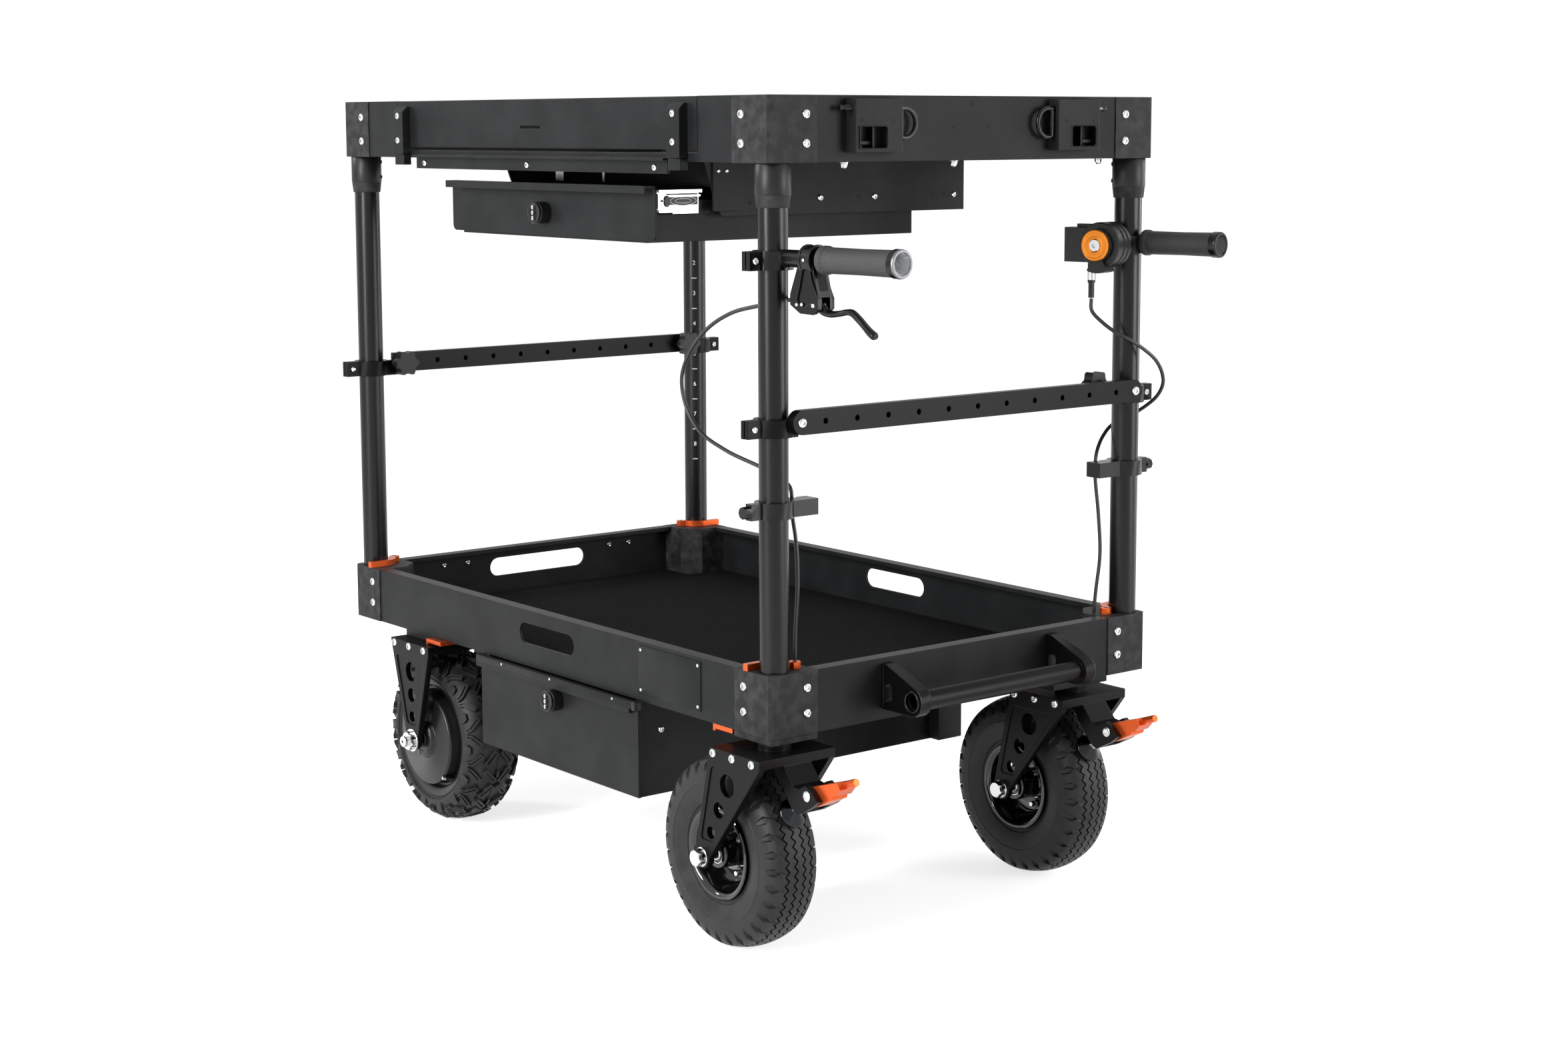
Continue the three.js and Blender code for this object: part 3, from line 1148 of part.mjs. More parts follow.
piece("upper_door", dropDoor(), finish.satinBlack);
piece("upper_drawer", upperDrawer(), finish.satinBlack);
piece("upper_lock_knob", lockKnob(lock.upperX, lock.upperZ, drawer.frontY - drawer.frontThick, drawer.frontThick), finish.moulded);
piece("lower_cabinet", lowerCabinet(), finish.satinBlack);
piece("lower_drawer", lowerDrawer(), finish.satinBlack);
piece(
  "lower_lock_knob", lockKnob(lock.lowerX, lock.lowerZ, cabinet.front - fit - bin.panelThick, bin.panelThick),
  finish.moulded,
);

for (const [name, stemY] of [["door", caster.doorStemY], ["far", caster.farStemY]]) {
  const [x, z] = [postX - caster.trail, caster.tyre];
  piece(`caster_fork_${name}`, casterFork(stemY), finish.satinBlack);
  piece(`caster_brake_lever_${name}`, casterBrakeLever(stemY), finish.orange);
  piece(`caster_rim_${name}`, steelRim(x, stemY, z), finish.anodised);
  piece(
    `caster_tyre_${name}`,
    tyre(x, stemY, z, caster.tyre, caster.width, rim.seat + fit, true, tread.zig, tread.waves * 2), finish.rubber);
}
for (const [name, side] of [["door", -1], ["far", 1]]) {
  const y = side * drive.y;
  piece(`drive_fork_${name}`, driveFork(side), finish.satinBlack);
  piece(`hub_motor_${name}`, hubMotor(drive.x, y, drive.tyre), finish.anodised);
  piece(
    `drive_tyre_${name}`,
    tyre(drive.x, y, drive.tyre, drive.tyre, drive.width, drive.rim + fit, false, 0, wheelSides), finish.rubber);
}

piece("tow_handle", towHandle(), finish.satinBlack);
piece("end_rail", endRailSolid(), finish.satinBlack);
piece("left_rail", leftRailSolid(), finish.satinBlack);
piece("star_knob_left_door", starKnob(leftRail.face, 1, -star.y, leftRail.z), finish.moulded);
piece("star_knob_left_far", starKnob(leftRail.face, 1, star.y, leftRail.z), finish.moulded);
piece("star_knob_end", starKnob(endRail.face - endRail.thick, -1, star.endY, star.endZ), finish.moulded);
piece("ring_pin_door", ringPinSolid(-1), finish.anodised);
piece("ring_pin_far", ringPinSolid(1), finish.anodised);

const doorHandle = new THREE.Group();
doorHandle.position.set(postX, -postY, 0);
doorHandle.rotation.z = grip.turnDoor * degree;
cart.add(doorHandle);
piece("brake_mount", brakeMount(), finish.anodised, doorHandle);
piece("brake_grip", gripSleeve(grip.doorFrom, grip.doorTo), finish.rubber, doorHandle);
piece("brake_lever", handLever(), finish.anodised, doorHandle);

const farHandle = new THREE.Group();
farHandle.position.set(postX, postY, 0);
farHandle.rotation.z = grip.turnFar * degree;
cart.add(farHandle);
piece("throttle_mount", throttleMount(), finish.moulded, farHandle);
piece("throttle_grip", gripSleeve(grip.farFrom, grip.farTo), finish.rubber, farHandle);
piece("throttle_dial", throttleDial(), finish.orange, farHandle);
piece("throttle_button", throttleButton(), finish.moulded, farHandle);

function route(points, x, y) {
  return points.map(([a, b, z]) => new THREE.Vector3(x + a, y + b, z));
}
piece("brake_cable", cord(route(brakeRoute, postX, -postY), cable.radius, cable.sides, cable.steps), finish.rubber);
piece("throttle_cable", cord(route(throttleRoute, postX, postY), cable.radius, cable.sides, cable.steps), finish.rubber);

// The origin is under the middle of the whole cart, on the ground
cart.updateMatrixWorld(true);
const reach = new THREE.Box3().setFromObject(cart, true);
cart.position.set(-(reach.min.x + reach.max.x) / 2, -(reach.min.y + reach.max.y) / 2, -reach.min.z);

export default cart;
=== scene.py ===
import math

import bmesh
import bpy
from mathutils import Matrix, Quaternion, Vector


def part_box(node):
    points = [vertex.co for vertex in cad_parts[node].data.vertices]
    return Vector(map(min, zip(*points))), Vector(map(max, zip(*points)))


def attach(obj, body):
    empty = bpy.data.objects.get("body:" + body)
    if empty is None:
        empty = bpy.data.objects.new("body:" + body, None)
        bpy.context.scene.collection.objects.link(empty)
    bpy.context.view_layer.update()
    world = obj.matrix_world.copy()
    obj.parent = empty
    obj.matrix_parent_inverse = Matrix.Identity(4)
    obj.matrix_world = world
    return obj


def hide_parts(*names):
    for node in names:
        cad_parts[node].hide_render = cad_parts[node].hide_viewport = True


bl_info = {
    "name": "Camera cart finishes",
    "version": (1, 0, 0),
    "blender": (4, 5, 0),
    "location": "View3D > Sidebar > Cart",
    "description": "Finishes, treads, fasteners and stage for a two-deck camera cart",
    "category": "Object",
}

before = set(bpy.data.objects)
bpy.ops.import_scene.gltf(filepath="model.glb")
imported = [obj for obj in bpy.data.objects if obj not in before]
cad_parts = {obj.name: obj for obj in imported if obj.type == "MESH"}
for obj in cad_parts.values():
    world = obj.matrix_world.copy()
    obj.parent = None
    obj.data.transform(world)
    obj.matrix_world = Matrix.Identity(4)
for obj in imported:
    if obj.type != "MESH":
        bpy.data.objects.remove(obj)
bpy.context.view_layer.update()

# Lengths are in millimetres in the cart's own frame: X towards the handles, -Y the door side, Z up.
# The mat is centred on the decks, so its middle gives the cart frame's place.
MM = 0.001
MAT_LOW, MAT_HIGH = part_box("lower_mat")
CART = Vector(((MAT_LOW.x + MAT_HIGH.x) / 2, (MAT_LOW.y + MAT_HIGH.y) / 2, 0))

HALF_X, HALF_Y = 533.5, 339.5
WALL_X, WALL_Y = 532, 338
POST_X, POST_Y = 509.5, 315.5
POST_RADIUS = 19.05
HANDLE_Z = 900
UPPER_Z, UPPER_TOP = 1016.7, 1100
LOWER_Z, LOWER_TOP = 293.3, 375.1
CORNERS = {
    "handle_door": (1, -1),
    "handle_far": (1, 1),
    "drive_door": (-1, -1),
    "drive_far": (-1, 1),
}
CASTER_STEMS = {"door": -315.5, "far": 214}
CASTER_AXLE = (435, 127.5)
DRIVE_AXLE = (-325, 132)
DRIVE_Y = {"door": -288, "far": 288}


def at(x, y, z):
    """A point of the cart's frame, in metres."""
    return CART + Vector((x, y, z)) * MM


# Colour and nodes


def colour(code):
    """An sRGB hex code as linear red, green, blue and alpha; a colour that is linear already is passed on."""
    if not isinstance(code, str):
        return (*code, 1.0)
    parts = [int(code[i : i + 2], 16) / 255 for i in (1, 3, 5)]
    return tuple(c / 12.92 if c <= 0.04045 else ((c + 0.055) / 1.055) ** 2.4 for c in parts) + (1.0,)


def add_node(tree, kind, settings=None, links=None):
    """Adds a node, sets its values and sockets, and links its inputs."""
    made = tree.nodes.new(kind)
    for key, value in (settings or {}).items():
        if isinstance(key, int) or key in made.inputs:
            made.inputs[key].default_value = value
        else:
            setattr(made, key, value)
    for socket, source in (links or {}).items():
        tree.links.new(source, made.inputs[socket])
    return made


def surface(name, code, metallic, roughness, **sockets):
    """A material with its shader's plain values set, its tree and its shader."""
    made = bpy.data.materials.new(name)
    made.use_nodes = True
    tree = made.node_tree
    shader = tree.nodes["Principled BSDF"]
    shader.inputs["Base Color"].default_value = colour(code)
    shader.inputs["Metallic"].default_value = metallic
    shader.inputs["Roughness"].default_value = roughness
    for socket, value in sockets.items():
        shader.inputs[socket.replace("_", " ")].default_value = value
    return made, tree, shader


def grain(tree, size_mm, detail=2.0, stretch=(1, 1, 1)):
    """Noise with blobs of about size_mm, from the piece's own coordinates, as the socket that gives it."""
    place = add_node(tree, "ShaderNodeTexCoord")
    scaled = add_node(
        tree, "ShaderNodeMapping", {"Scale": Vector(stretch)}, {"Vector": place.outputs["Object"]})
    noise = add_node(
        tree, "ShaderNodeTexNoise", {"Scale": 1 / (size_mm * MM), "Detail": detail},
        {"Vector": scaled.outputs["Vector"]})
    return noise.outputs["Fac"]


def tint_range(tree, shader, source, dark, light, low=0.35, high=0.65):
    """Spreads a noise between two colours for the shader."""
    ramp = add_node(tree, "ShaderNodeValToRGB", {}, {"Fac": source})
    ramp.color_ramp.elements[0].position = low
    ramp.color_ramp.elements[0].color = colour(dark)
    ramp.color_ramp.elements[1].position = high
    ramp.color_ramp.elements[1].color = colour(light)
    tree.links.new(ramp.outputs["Color"], shader.inputs["Base Color"])


def relief(tree, shader, height, depth_mm, strength=1.0, edge_mm=0.0):
    """Bumps the surface by a height that stands for depth_mm, on edges eased by edge_mm."""
    below = {"Height": height}
    if edge_mm:
        below["Normal"] = eased_edges(tree, shader, edge_mm)
    bump = add_node(tree, "ShaderNodeBump", {"Strength": strength, "Distance": depth_mm * MM}, below)
    tree.links.new(bump.outputs["Normal"], shader.inputs["Normal"])


def eased_edges(tree, shader, edge_mm):
    """Shades sharp edges as if broken to a radius of edge_mm, so that they catch a line of light."""
    eased = add_node(tree, "ShaderNodeBevel", {"samples": 6, "Radius": edge_mm * MM})
    tree.links.new(eased.outputs["Normal"], shader.inputs["Normal"])
    return eased.outputs["Normal"]


def rough_range(tree, shader, source, low, high):
    """Varies the roughness with a noise."""
    spread = add_node(
        tree, "ShaderNodeMapRange", {"To Min": low, "To Max": high}, {"Value": source})
    tree.links.new(spread.outputs["Result"], shader.inputs["Roughness"])


# Materials


def powder_coat():
    """Folded sheet aluminium, satin black powder coat: a soft sheen, broken by its grain."""
    made, tree, shader = surface("satin_black_powder_coat", "#1b1c1d", 0.0, 0.42, Specular_IOR_Level=0.1)
    # The real grain is about 0.3 mm, drawn at 1.3 mm so that it shows
    fine = grain(tree, 1.3, 3.0)
    broad = grain(tree, 60, 1.0)
    tint_range(tree, shader, broad, "#191a1b", "#202122")
    rough_range(tree, shader, fine, 0.3, 0.52)
    # Bends and cut edges are broken to about 0.8 mm, drawn at 1.6 mm so that their line of light shows
    relief(tree, shader, fine, 0.3, 1.0, 1.6)
    return made


def cast_nylon():
    """Glass-filled nylon corners, moulded: dull black with a cloudy bloom and a pebbled skin."""
    made, tree, shader = surface(
        "glass_filled_nylon_moulded", "#1a1a1b", 0.0, 0.6, Specular_IOR_Level=0.2)
    cloud = grain(tree, 16, 6.0)
    # Pebbles of about 0.8 mm, drawn at 1.6 mm so that they show
    pebble = grain(tree, 1.6, 3.0)
    tint_range(tree, shader, cloud, "#19191a", "#38383a", 0.4, 0.72)
    rough_range(tree, shader, cloud, 0.5, 0.75)
    relief(tree, shader, pebble, 0.12, 0.7, 1.2)
    return made


def anodised_tube():
    """Drawn aluminium tube, black anodised: a tight highlight along it with faint draw marks."""
    made, tree, shader = surface(
        "black_anodised_drawn_aluminium", "#050506", 0.0, 0.3, Specular_IOR_Level=0.28)
    # Draw marks of about 0.2 mm, drawn 1.2 mm wide and 25 times as long so that they show
    draw = grain(tree, 1.2, 2.0, (1, 1, 0.04))
    rough_range(tree, shader, draw, 0.22, 0.36)
    relief(tree, shader, draw, 0.1, 0.6)
    return made


def machined_black():
    """Milled aluminium, black anodised: even satin black on rails, forks and clamps."""
    made, tree, shader = surface(
        "black_anodised_milled_aluminium", "#060607", 0.0, 0.34, Specular_IOR_Level=0.12)
    # Cutter marks of about 0.2 mm, drawn at 0.8 mm, and edges broken to about 0.7 mm, drawn at 1.4 mm
    fine = grain(tree, 0.8)
    rough_range(tree, shader, fine, 0.3, 0.42)
    eased_edges(tree, shader, 1.4)
    return made


def orange_anodised(name, code):
    """Milled aluminium, dyed orange and anodised: a metal gleam under a clear dye."""
    made, tree, shader = surface(name, code, 0.75, 0.34)
    # The same marks and edges as on the black milled parts
    fine = grain(tree, 0.8)
    rough_range(tree, shader, fine, 0.26, 0.4)
    eased_edges(tree, shader, 0.8)
    return made


def gloss_enamel():
    """Pressed steel, gloss black enamel, as on the wheel rims: sharp reflections, slight orange peel."""
    made, tree, shader = surface("gloss_black_enamelled_steel", "#0b0b0c", 0.0, 0.1, Coat_Weight=0.4)
    peel = grain(tree, 5, 1.0)
    relief(tree, shader, peel, 0.05, 0.3)
    return made


def motor_paint():
    """Cast aluminium motor covers, turned and painted black: a soft, even sheen."""
    made, tree, shader = surface(
        "satin_black_painted_cast_aluminium", "#0e0e0f", 0.0, 0.32, Specular_IOR_Level=0.35)
    # Paint grain of about 0.3 mm, drawn at 0.9 mm so that it shows
    fine = grain(tree, 0.9)
    rough_range(tree, shader, fine, 0.26, 0.38)
    relief(tree, shader, fine, 0.03, 0.4)
    return made


def tyre_rubber():
    """Moulded tyre rubber: charcoal, with a dull bloom that is lighter in patches."""
    made, tree, shader = surface("moulded_tyre_rubber", "#1e1e1f", 0.0, 0.5, Specular_IOR_Level=0.25)
    bloom = grain(tree, 22, 5.0)
    # The mould's skin is about 0.3 mm, drawn at 1 mm so that it shows
    fine = grain(tree, 1.0)
    tint_range(tree, shader, bloom, "#18181a", "#29292a", 0.35, 0.7)
    rough_range(tree, shader, bloom, 0.34, 0.62)
    relief(tree, shader, fine, 0.16, 0.8)
    return made


def grip_rubber(name, dark, light):
    """Grip rubber moulded with a fine diamond pattern of crossed ridges; its colour is painted darker in the
    grooves and lighter on the ridges, as shade and light.
    """
    made, tree, shader = surface(name, dark, 0.0, 0.62)
    place = add_node(tree, "ShaderNodeTexCoord")
    # Ridges of 2.6 mm lean 0.6 radians to either side; a band wave at scale 1 is about 0.31 m wide
    ridge_mm, lean, band = 2.6, 0.6, 0.31
    crossed = []
    for turn in (lean, -lean):
        turned_place = add_node(
            tree, "ShaderNodeMapping", {"Rotation": (0, turn, 0)},
            {"Vector": place.outputs["Object"]})
        wave = add_node(
            tree, "ShaderNodeTexWave",
            {"wave_type": "BANDS", "bands_direction": "X", "Scale": band / (ridge_mm * MM)},
            {"Vector": turned_place.outputs["Vector"]})
        crossed.append(wave.outputs["Fac"])
    both = add_node(tree, "ShaderNodeMath", {"operation": "MULTIPLY"}, {0: crossed[0], 1: crossed[1]})
    # Painted shade and light: the colour follows the ridges' height, darker in the grooves and lighter where
    # the ridges cross.
    tint_range(tree, shader, both.outputs[0], dark, light, 0.1, 0.6)
    relief(tree, shader, both.outputs[0], 0.5, 1.0)
    return made


def carpet_pile():
    """Needle-punched black carpet: almost no shine, the fuzz swallows what falls on it."""
    made, tree, shader = surface("needle_punched_black_carpet", "#0e0e0f", 0.0, 1.0, Specular_IOR_Level=0.08)
    # Tufts of about 1 mm, drawn at 2.2 mm so that they show
    pile = grain(tree, 2.2, 4.0)
    patch = grain(tree, 45, 2.0)
    tint_range(tree, shader, pile, "#080809", "#1a1a1b", 0.3, 0.7)
    mixed = add_node(
        tree, "ShaderNodeMath", {"operation": "MULTIPLY_ADD", 1: 0.4},
        {0: patch, 2: pile})
    relief(tree, shader, mixed.outputs[0], 1.4, 1.0)
    return made


def stainless():
    """Stainless button-head screws, headed and tumbled: bright with slight softening."""
    made, tree, shader = surface("stainless_steel_tumbled", "#d4d5d6", 1.0, 0.22)
    # Tumbling marks of about 0.3 mm, drawn at 1.5 mm so that they show
    fine = grain(tree, 1.5)
    rough_range(tree, shader, fine, 0.16, 0.32)
    return made


def zinc_steel():
    """Rolled steel drawer slides, bright zinc plated: pale grey with long rolling marks."""
    made, tree, shader = surface("bright_zinc_plated_steel", "#c4c6c8", 1.0, 0.3)
    # Rolling marks of about 0.3 mm, drawn 1.5 mm wide and 20 times as long so that they show
    rolled = grain(tree, 1.5, 2.0, (1, 0.05, 1))
    rough_range(tree, shader, rolled, 0.24, 0.42)
    return made


def black_plastic():
    """Moulded black nylon knobs and housings: satin, with a faint leathery skin."""
    made, tree, shader = surface("black_nylon_moulded", "#101011", 0.0, 0.36, Specular_IOR_Level=0.3)
    # The mould's skin is about 0.7 mm, drawn at 1.4 mm so that it shows
    skin = grain(tree, 1.4, 2.0)
    rough_range(tree, shader, skin, 0.34, 0.5)
    relief(tree, shader, skin, 0.05, 0.5, 0.8)
    return made


def gloss_black_alloy():
    """Cast alloy brake parts, polished black: a wet look with bright edges."""
    made, tree, shader = surface("black_polished_cast_alloy", "#080809", 0.0, 0.24, Specular_IOR_Level=0.3)
    wave = grain(tree, 14, 1.0)
    relief(tree, shader, wave, 0.1, 0.3, 1.0)
    return made


def blasted_grey():
    """Bead-blasted aluminium, anodised grey, as on the grip's end: metal without a mirror in it."""
    made, tree, shader = surface("bead_blasted_grey_aluminium", "#77787a", 1.0, 0.45)
    # Bead marks of about 0.2 mm, drawn at 0.8 mm so that they show
    fine = grain(tree, 0.8)
    rough_range(tree, shader, fine, 0.38, 0.55)
    return made


def dark_chrome():
    """Turned steel under black chrome, as on the brake cones: a dark mirror, a little scuffed."""
    made, tree, shader = surface("black_chromed_turned_steel", "#2e2f31", 1.0, 0.16)
    scuff = grain(tree, 3)
    rough_range(tree, shader, scuff, 0.1, 0.26)
    return made


def cable_sheath():
    """Extruded PVC cable sheath: smooth satin black."""
    made, tree, shader = surface("pvc_cable_sheath", "#141415", 0.0, 0.38)
    draw = grain(tree, 2.5, 1.0)
    rough_range(tree, shader, draw, 0.32, 0.46)
    return made


def white_print():
    """Screen-printed white ink for the scale, digits and centre marks."""
    made, tree, shader = surface("screen_printed_white_ink", "#e9e9e6", 0.0, 0.6)
    # The screen's mesh leaves marks of about 0.2 mm, drawn at 0.8 mm so that they show
    fine = grain(tree, 0.8)
    tint_range(tree, shader, fine, "#dededb", "#efefec")
    return made


def painted_hole_shade():
    """Painted shade: a flat near-black that stands for the unlit inside of a small hole."""
    made, tree, shader = surface("painted_shade_for_holes", "#050505", 0.0, 0.9)
    fine = grain(tree, 1.0)
    rough_range(tree, shader, fine, 0.8, 0.95)
    return made


LOOKS = {}


def make_looks():
    """Fills LOOKS with the cart's materials, each by its short name."""
    colours = bpy.context.scene.cart_colours
    LOOKS.update(
        coat=powder_coat(),
        nylon=cast_nylon(),
        tube=anodised_tube(),
        milled=machined_black(),
        orange=orange_anodised("orange_anodised_aluminium", colours.orange),
        amber=orange_anodised("amber_anodised_aluminium", colours.amber),
        enamel=gloss_enamel(),
        motor=motor_paint(),
        tyre=tyre_rubber(),
        # Each grip's first colour is its grooves' painted shade and its second the ridges' painted light.
        grip_grey=grip_rubber("moulded_grey_grip_rubber", "#242426", "#464648"),
        grip_black=grip_rubber("moulded_black_grip_rubber", "#141415", "#303032"),
        carpet=carpet_pile(),
        stainless=stainless(),
        zinc=zinc_steel(),
        plastic=black_plastic(),
        alloy=gloss_black_alloy(),
        blasted=blasted_grey(),
        dark_chrome=dark_chrome(),
        sheath=cable_sheath(),
        ink=white_print(),
        hole=painted_hole_shade(),
    )


# Meshes. Each piece is collected in cart millimetres and written out once.


def circle(count):
    """Angles all the way round, as many as count."""
    return [k / count * math.tau for k in range(count)]


class Work:
    """The points and faces of a piece, each face with the number of its material."""

    def __init__(self):
        self.points = []
        self.faces = []

    def face(self, corners, look=0):
        """One face by its points' numbers."""
        self.faces.append((tuple(corners), look))

    def loft(self, rings, look=0, closed=False, caps=True):
        """Skins between rings of as many points each; a ring of one point is a tip."""
        starts = []
        for ring in rings:
            starts.append((len(self.points), len(ring)))
            self.points.extend(Vector(p) for p in ring)
        pairs = list(zip(starts, starts[1:]))
        if closed:
            pairs.append((starts[-1], starts[0]))
        for (a, na), (b, nb) in pairs:
            count = max(na, nb)
            for i in range(count):
                j = (i + 1) % count
                quad = [a + i % na, a + j % na, b + j % nb, b + i % nb]
                corners = [p for k, p in enumerate(quad) if p not in quad[:k]]
                if len(corners) > 2:
                    self.face(corners, look)
        if caps and not closed:
            for (start, count), back in ((starts[0], True), (starts[-1], False)):
                if count > 2:
                    run = range(start, start + count)
                    self.face(reversed(run) if back else run, look)

    def turned(self, profile, centre, axis, sides=32, look=0, closed=False, flats=()):
        """Turns [radius, station] pairs about an axis; stations in flats get six flats."""
        way = Vector(axis).normalized()
        side = way.orthogonal().normalized()
        up = way.cross(side)
        rings = []
        for index, (radius, station) in enumerate(profile):
            if radius == 0:
                rings.append([Vector(centre) + way * station])
                continue
            ring = []
            for angle in circle(sides):
                reach = radius
                if index in flats:
                    sixth = math.tau / 6
                    reach = radius * math.cos(sixth / 2) / math.cos(angle % sixth - sixth / 2)
                ring.append(
                    Vector(centre) + way * station + (side * math.cos(angle) + up * math.sin(angle)) * reach)
            rings.append(ring)
        self.loft(rings, look, closed)

    def prism(self, outline, axis, near, far, look=0):
        """Pushes an outline along X, Y or Z; its pairs are the other two coordinates in order."""
        slot = "xyz".index(axis)
        rings = []
        for station in (near, far):
            rings.append([(*pair[:slot], station, *pair[slot:]) for pair in outline])
        self.loft(rings, look)

    def block(self, low, high, look=0):
        """A box between two corners."""
        (x0, y0, z0), (x1, y1, z1) = low, high
        self.prism([(x0, y0), (x1, y0), (x1, y1), (x0, y1)], "z", z0, z1, look)

    def tube(self, path, radius, sides=12, look=0):
        """A round bar along a list of points, its radius a number or a function of the share of the way."""
        points = [Vector(p) for p in path]
        rings = []
        side = None
        for i, point in enumerate(points):
            ahead = points[min(i + 1, len(points) - 1)] - points[max(i - 1, 0)]
            way = ahead.normalized()
            if side is None:
                side = way.orthogonal().normalized()
            side = (side - way * side.dot(way)).normalized()
            up = way.cross(side)
            reach = radius(i / (len(points) - 1)) if callable(radius) else radius
            rings.append(
                [point + (side * math.cos(t) + up * math.sin(t)) * reach for t in circle(sides)])
        self.loft(rings, look)

    def screw(self, centre, out, radius=6.0, height=None, look=0, recess=1):
        """A button-head screw with a hexagon socket."""
        rise = radius * 0.55 if height is None else height
        socket = radius * 0.52
        profile = [
            (radius, -0.4), (radius, rise * 0.25), (radius * 0.93, rise * 0.6), (radius * 0.76, rise * 0.88),
            (socket * 1.12, rise), (socket, rise * 0.94), (socket * 0.94, rise * 0.3),
        ]
        self.turned(profile, centre, out, 24, look, flats=(5, 6))
        # The socket's floor is a flat disc in the recess look, which paints the socket's shade.
        self.turned(
            [(socket * 0.9, rise * 0.26), (0, rise * 0.26)], centre, out, 12, recess)

    def hex_head(self, centre, out, radius, height, washer, look=0):
        """A hexagon bolt head with its chamfer, on a flat washer."""
        self.turned(
            [(washer, -0.3), (washer, 1.4), (washer - 0.6, 1.9), (0, 1.9)], centre, out, 32, look)
        edge = height * 0.16
        self.turned(
            [(radius, 1.9), (radius, height - edge), (radius * 0.9, height), (0, height)],
            centre, out, 48, look, flats=(0, 1))


def write_piece(work, name, body, looks, sharp=32, bevel=0.0, replaced=None):
    """Makes a piece, its edges broken by bevel mm, that rides on its body and may stand for a CAD piece."""
    mesh = bpy.data.meshes.new(name)
    bm = bmesh.new()
    points = [bm.verts.new(CART + p * MM) for p in work.points]
    for corners, look in work.faces:
        face = bm.faces.new([points[i] for i in corners])
        face.material_index = look
    bmesh.ops.recalc_face_normals(bm, faces=bm.faces)
    if bevel:
        edges = [e for e in bm.edges if len(e.link_faces) == 2 and e.calc_face_angle() > math.radians(sharp)]
        bmesh.ops.bevel(
            bm, geom=edges, offset=bevel * MM, segments=2, affect="EDGES", clamp_overlap=True, profile=0.5)
    bm.to_mesh(mesh)
    bm.free()
    for look in looks:
        mesh.materials.append(LOOKS[look])
    mesh.shade_smooth()
    mesh.set_sharp_from_angle(angle=math.radians(sharp))
    made = bpy.data.objects.new(name, mesh)
    bpy.context.scene.collection.objects.link(made)
    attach(made, body)
    if replaced:
        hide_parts(replaced)


def write_screws(work, name, body):
    """Writes bright fasteners whose socket floors carry painted shade."""
    write_piece(work, name, body, ["stainless", "hole"])


def write_number(name, text, size, thick, place, body, swell=0.0):
    """Writes a printed numeral, size and thick in mm, its strokes swollen by swell mm."""
    digit = bpy.data.curves.new(name, "FONT")
    digit.body = text
    digit.size = size * MM
    digit.offset = swell * MM
    digit.extrude = thick * MM
    digit.align_x = "CENTER"
    digit.align_y = "CENTER"
    made = bpy.data.objects.new(name, digit)
    made.data.materials.append(LOOKS["ink"])
    made.matrix_world = place
    bpy.context.scene.collection.objects.link(made)
    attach(made, body)


def smooth_path(points, steps):
    """Points along a centripetal curve through the given ones."""
    path = [Vector(p) for p in points]
    path = [path[0] * 2 - path[1]] + path + [path[-1] * 2 - path[-2]]
    result = []
    for p0, p1, p2, p3 in zip(path, path[1:], path[2:], path[3:]):
        t1 = max((p1 - p0).length, 1e-4) ** 0.5
        t2 = t1 + max((p2 - p1).length, 1e-4) ** 0.5
        t3 = t2 + max((p3 - p2).length, 1e-4) ** 0.5
        for i in range(steps):
            t = t1 + (t2 - t1) * i / steps
            a1 = p0 * ((t1 - t) / t1) + p1 * (t / t1)
            a2 = p1 * ((t2 - t) / (t2 - t1)) + p2 * ((t - t1) / (t2 - t1))
            a3 = p2 * ((t3 - t) / (t3 - t2)) + p3 * ((t - t2) / (t3 - t2))
            b1 = a1 * ((t2 - t) / t2) + a2 * (t / t2)
            b2 = a2 * ((t3 - t) / (t3 - t1)) + a3 * ((t - t1) / (t3 - t1))
            result.append(b1 * ((t2 - t) / (t2 - t1)) + b2 * ((t - t1) / (t2 - t1)))
    result.append(path[-2])
    return result


# The CAD pieces' finishes

NODE_LOOKS = {
    "coat": ["lower_tray", "upper_tray", "upper_door", "upper_drawer", "lower_cabinet", "lower_drawer"],
    "nylon": [f"{deck}_corner_{corner}" for deck in ("lower", "upper") for corner in CORNERS],
    "tube": [f"post_{corner}" for corner in CORNERS],
    "milled": [
        "end_rail", "left_rail", "tow_handle", "caster_fork_door", "caster_fork_far", "drive_fork_door",
        "drive_fork_far",
    ],
    "orange": [
        *(f"post_clamp_lever_{corner}" for corner in CORNERS),
        *(f"wheel_release_lever_{corner}" for corner in CORNERS),
        "caster_brake_lever_door", "caster_brake_lever_far",
    ],
    "alloy": ["brake_mount", "brake_lever", "ring_pin_door", "ring_pin_far"],
    "plastic": [
        "upper_lock_knob", "lower_lock_knob", "star_knob_left_door", "star_knob_left_far", "star_knob_end",
        "throttle_mount", "throttle_button", "throttle_dial",
    ],
    "enamel": ["hub_motor_door", "hub_motor_far", "caster_rim_door", "caster_rim_far"],
    "tyre": ["caster_tyre_door", "caster_tyre_far", "drive_tyre_door", "drive_tyre_far"],
    "grip_grey": ["brake_grip"],
    "grip_black": ["throttle_grip"],
    "sheath": ["brake_cable", "throttle_cable"],
    "carpet": ["lower_mat"],
}


def round_off(made, angle):
    """Shades the facets of round stretches as one surface, with the mesh itself left alone."""
    mesh = made.data
    limit = math.cos(math.radians(angle))
    around = {}
    for face in mesh.polygons:
        for corner in face.vertices:
            key = tuple(round(c, 6) for c in mesh.vertices[corner].co)
            around.setdefault(key, []).append((face.normal.copy(), face.area))
    normals = []
    for face in mesh.polygons:
        for corner in face.vertices:
            key = tuple(round(c, 6) for c in mesh.vertices[corner].co)
            total = Vector()
            for normal, area in around[key]:
                if normal.dot(face.normal) > limit:
                    total += normal * area
            normals.append(total.normalized() if total.length > 0 else face.normal)
    mesh.shade_smooth()
    mesh.normals_split_custom_set(normals)


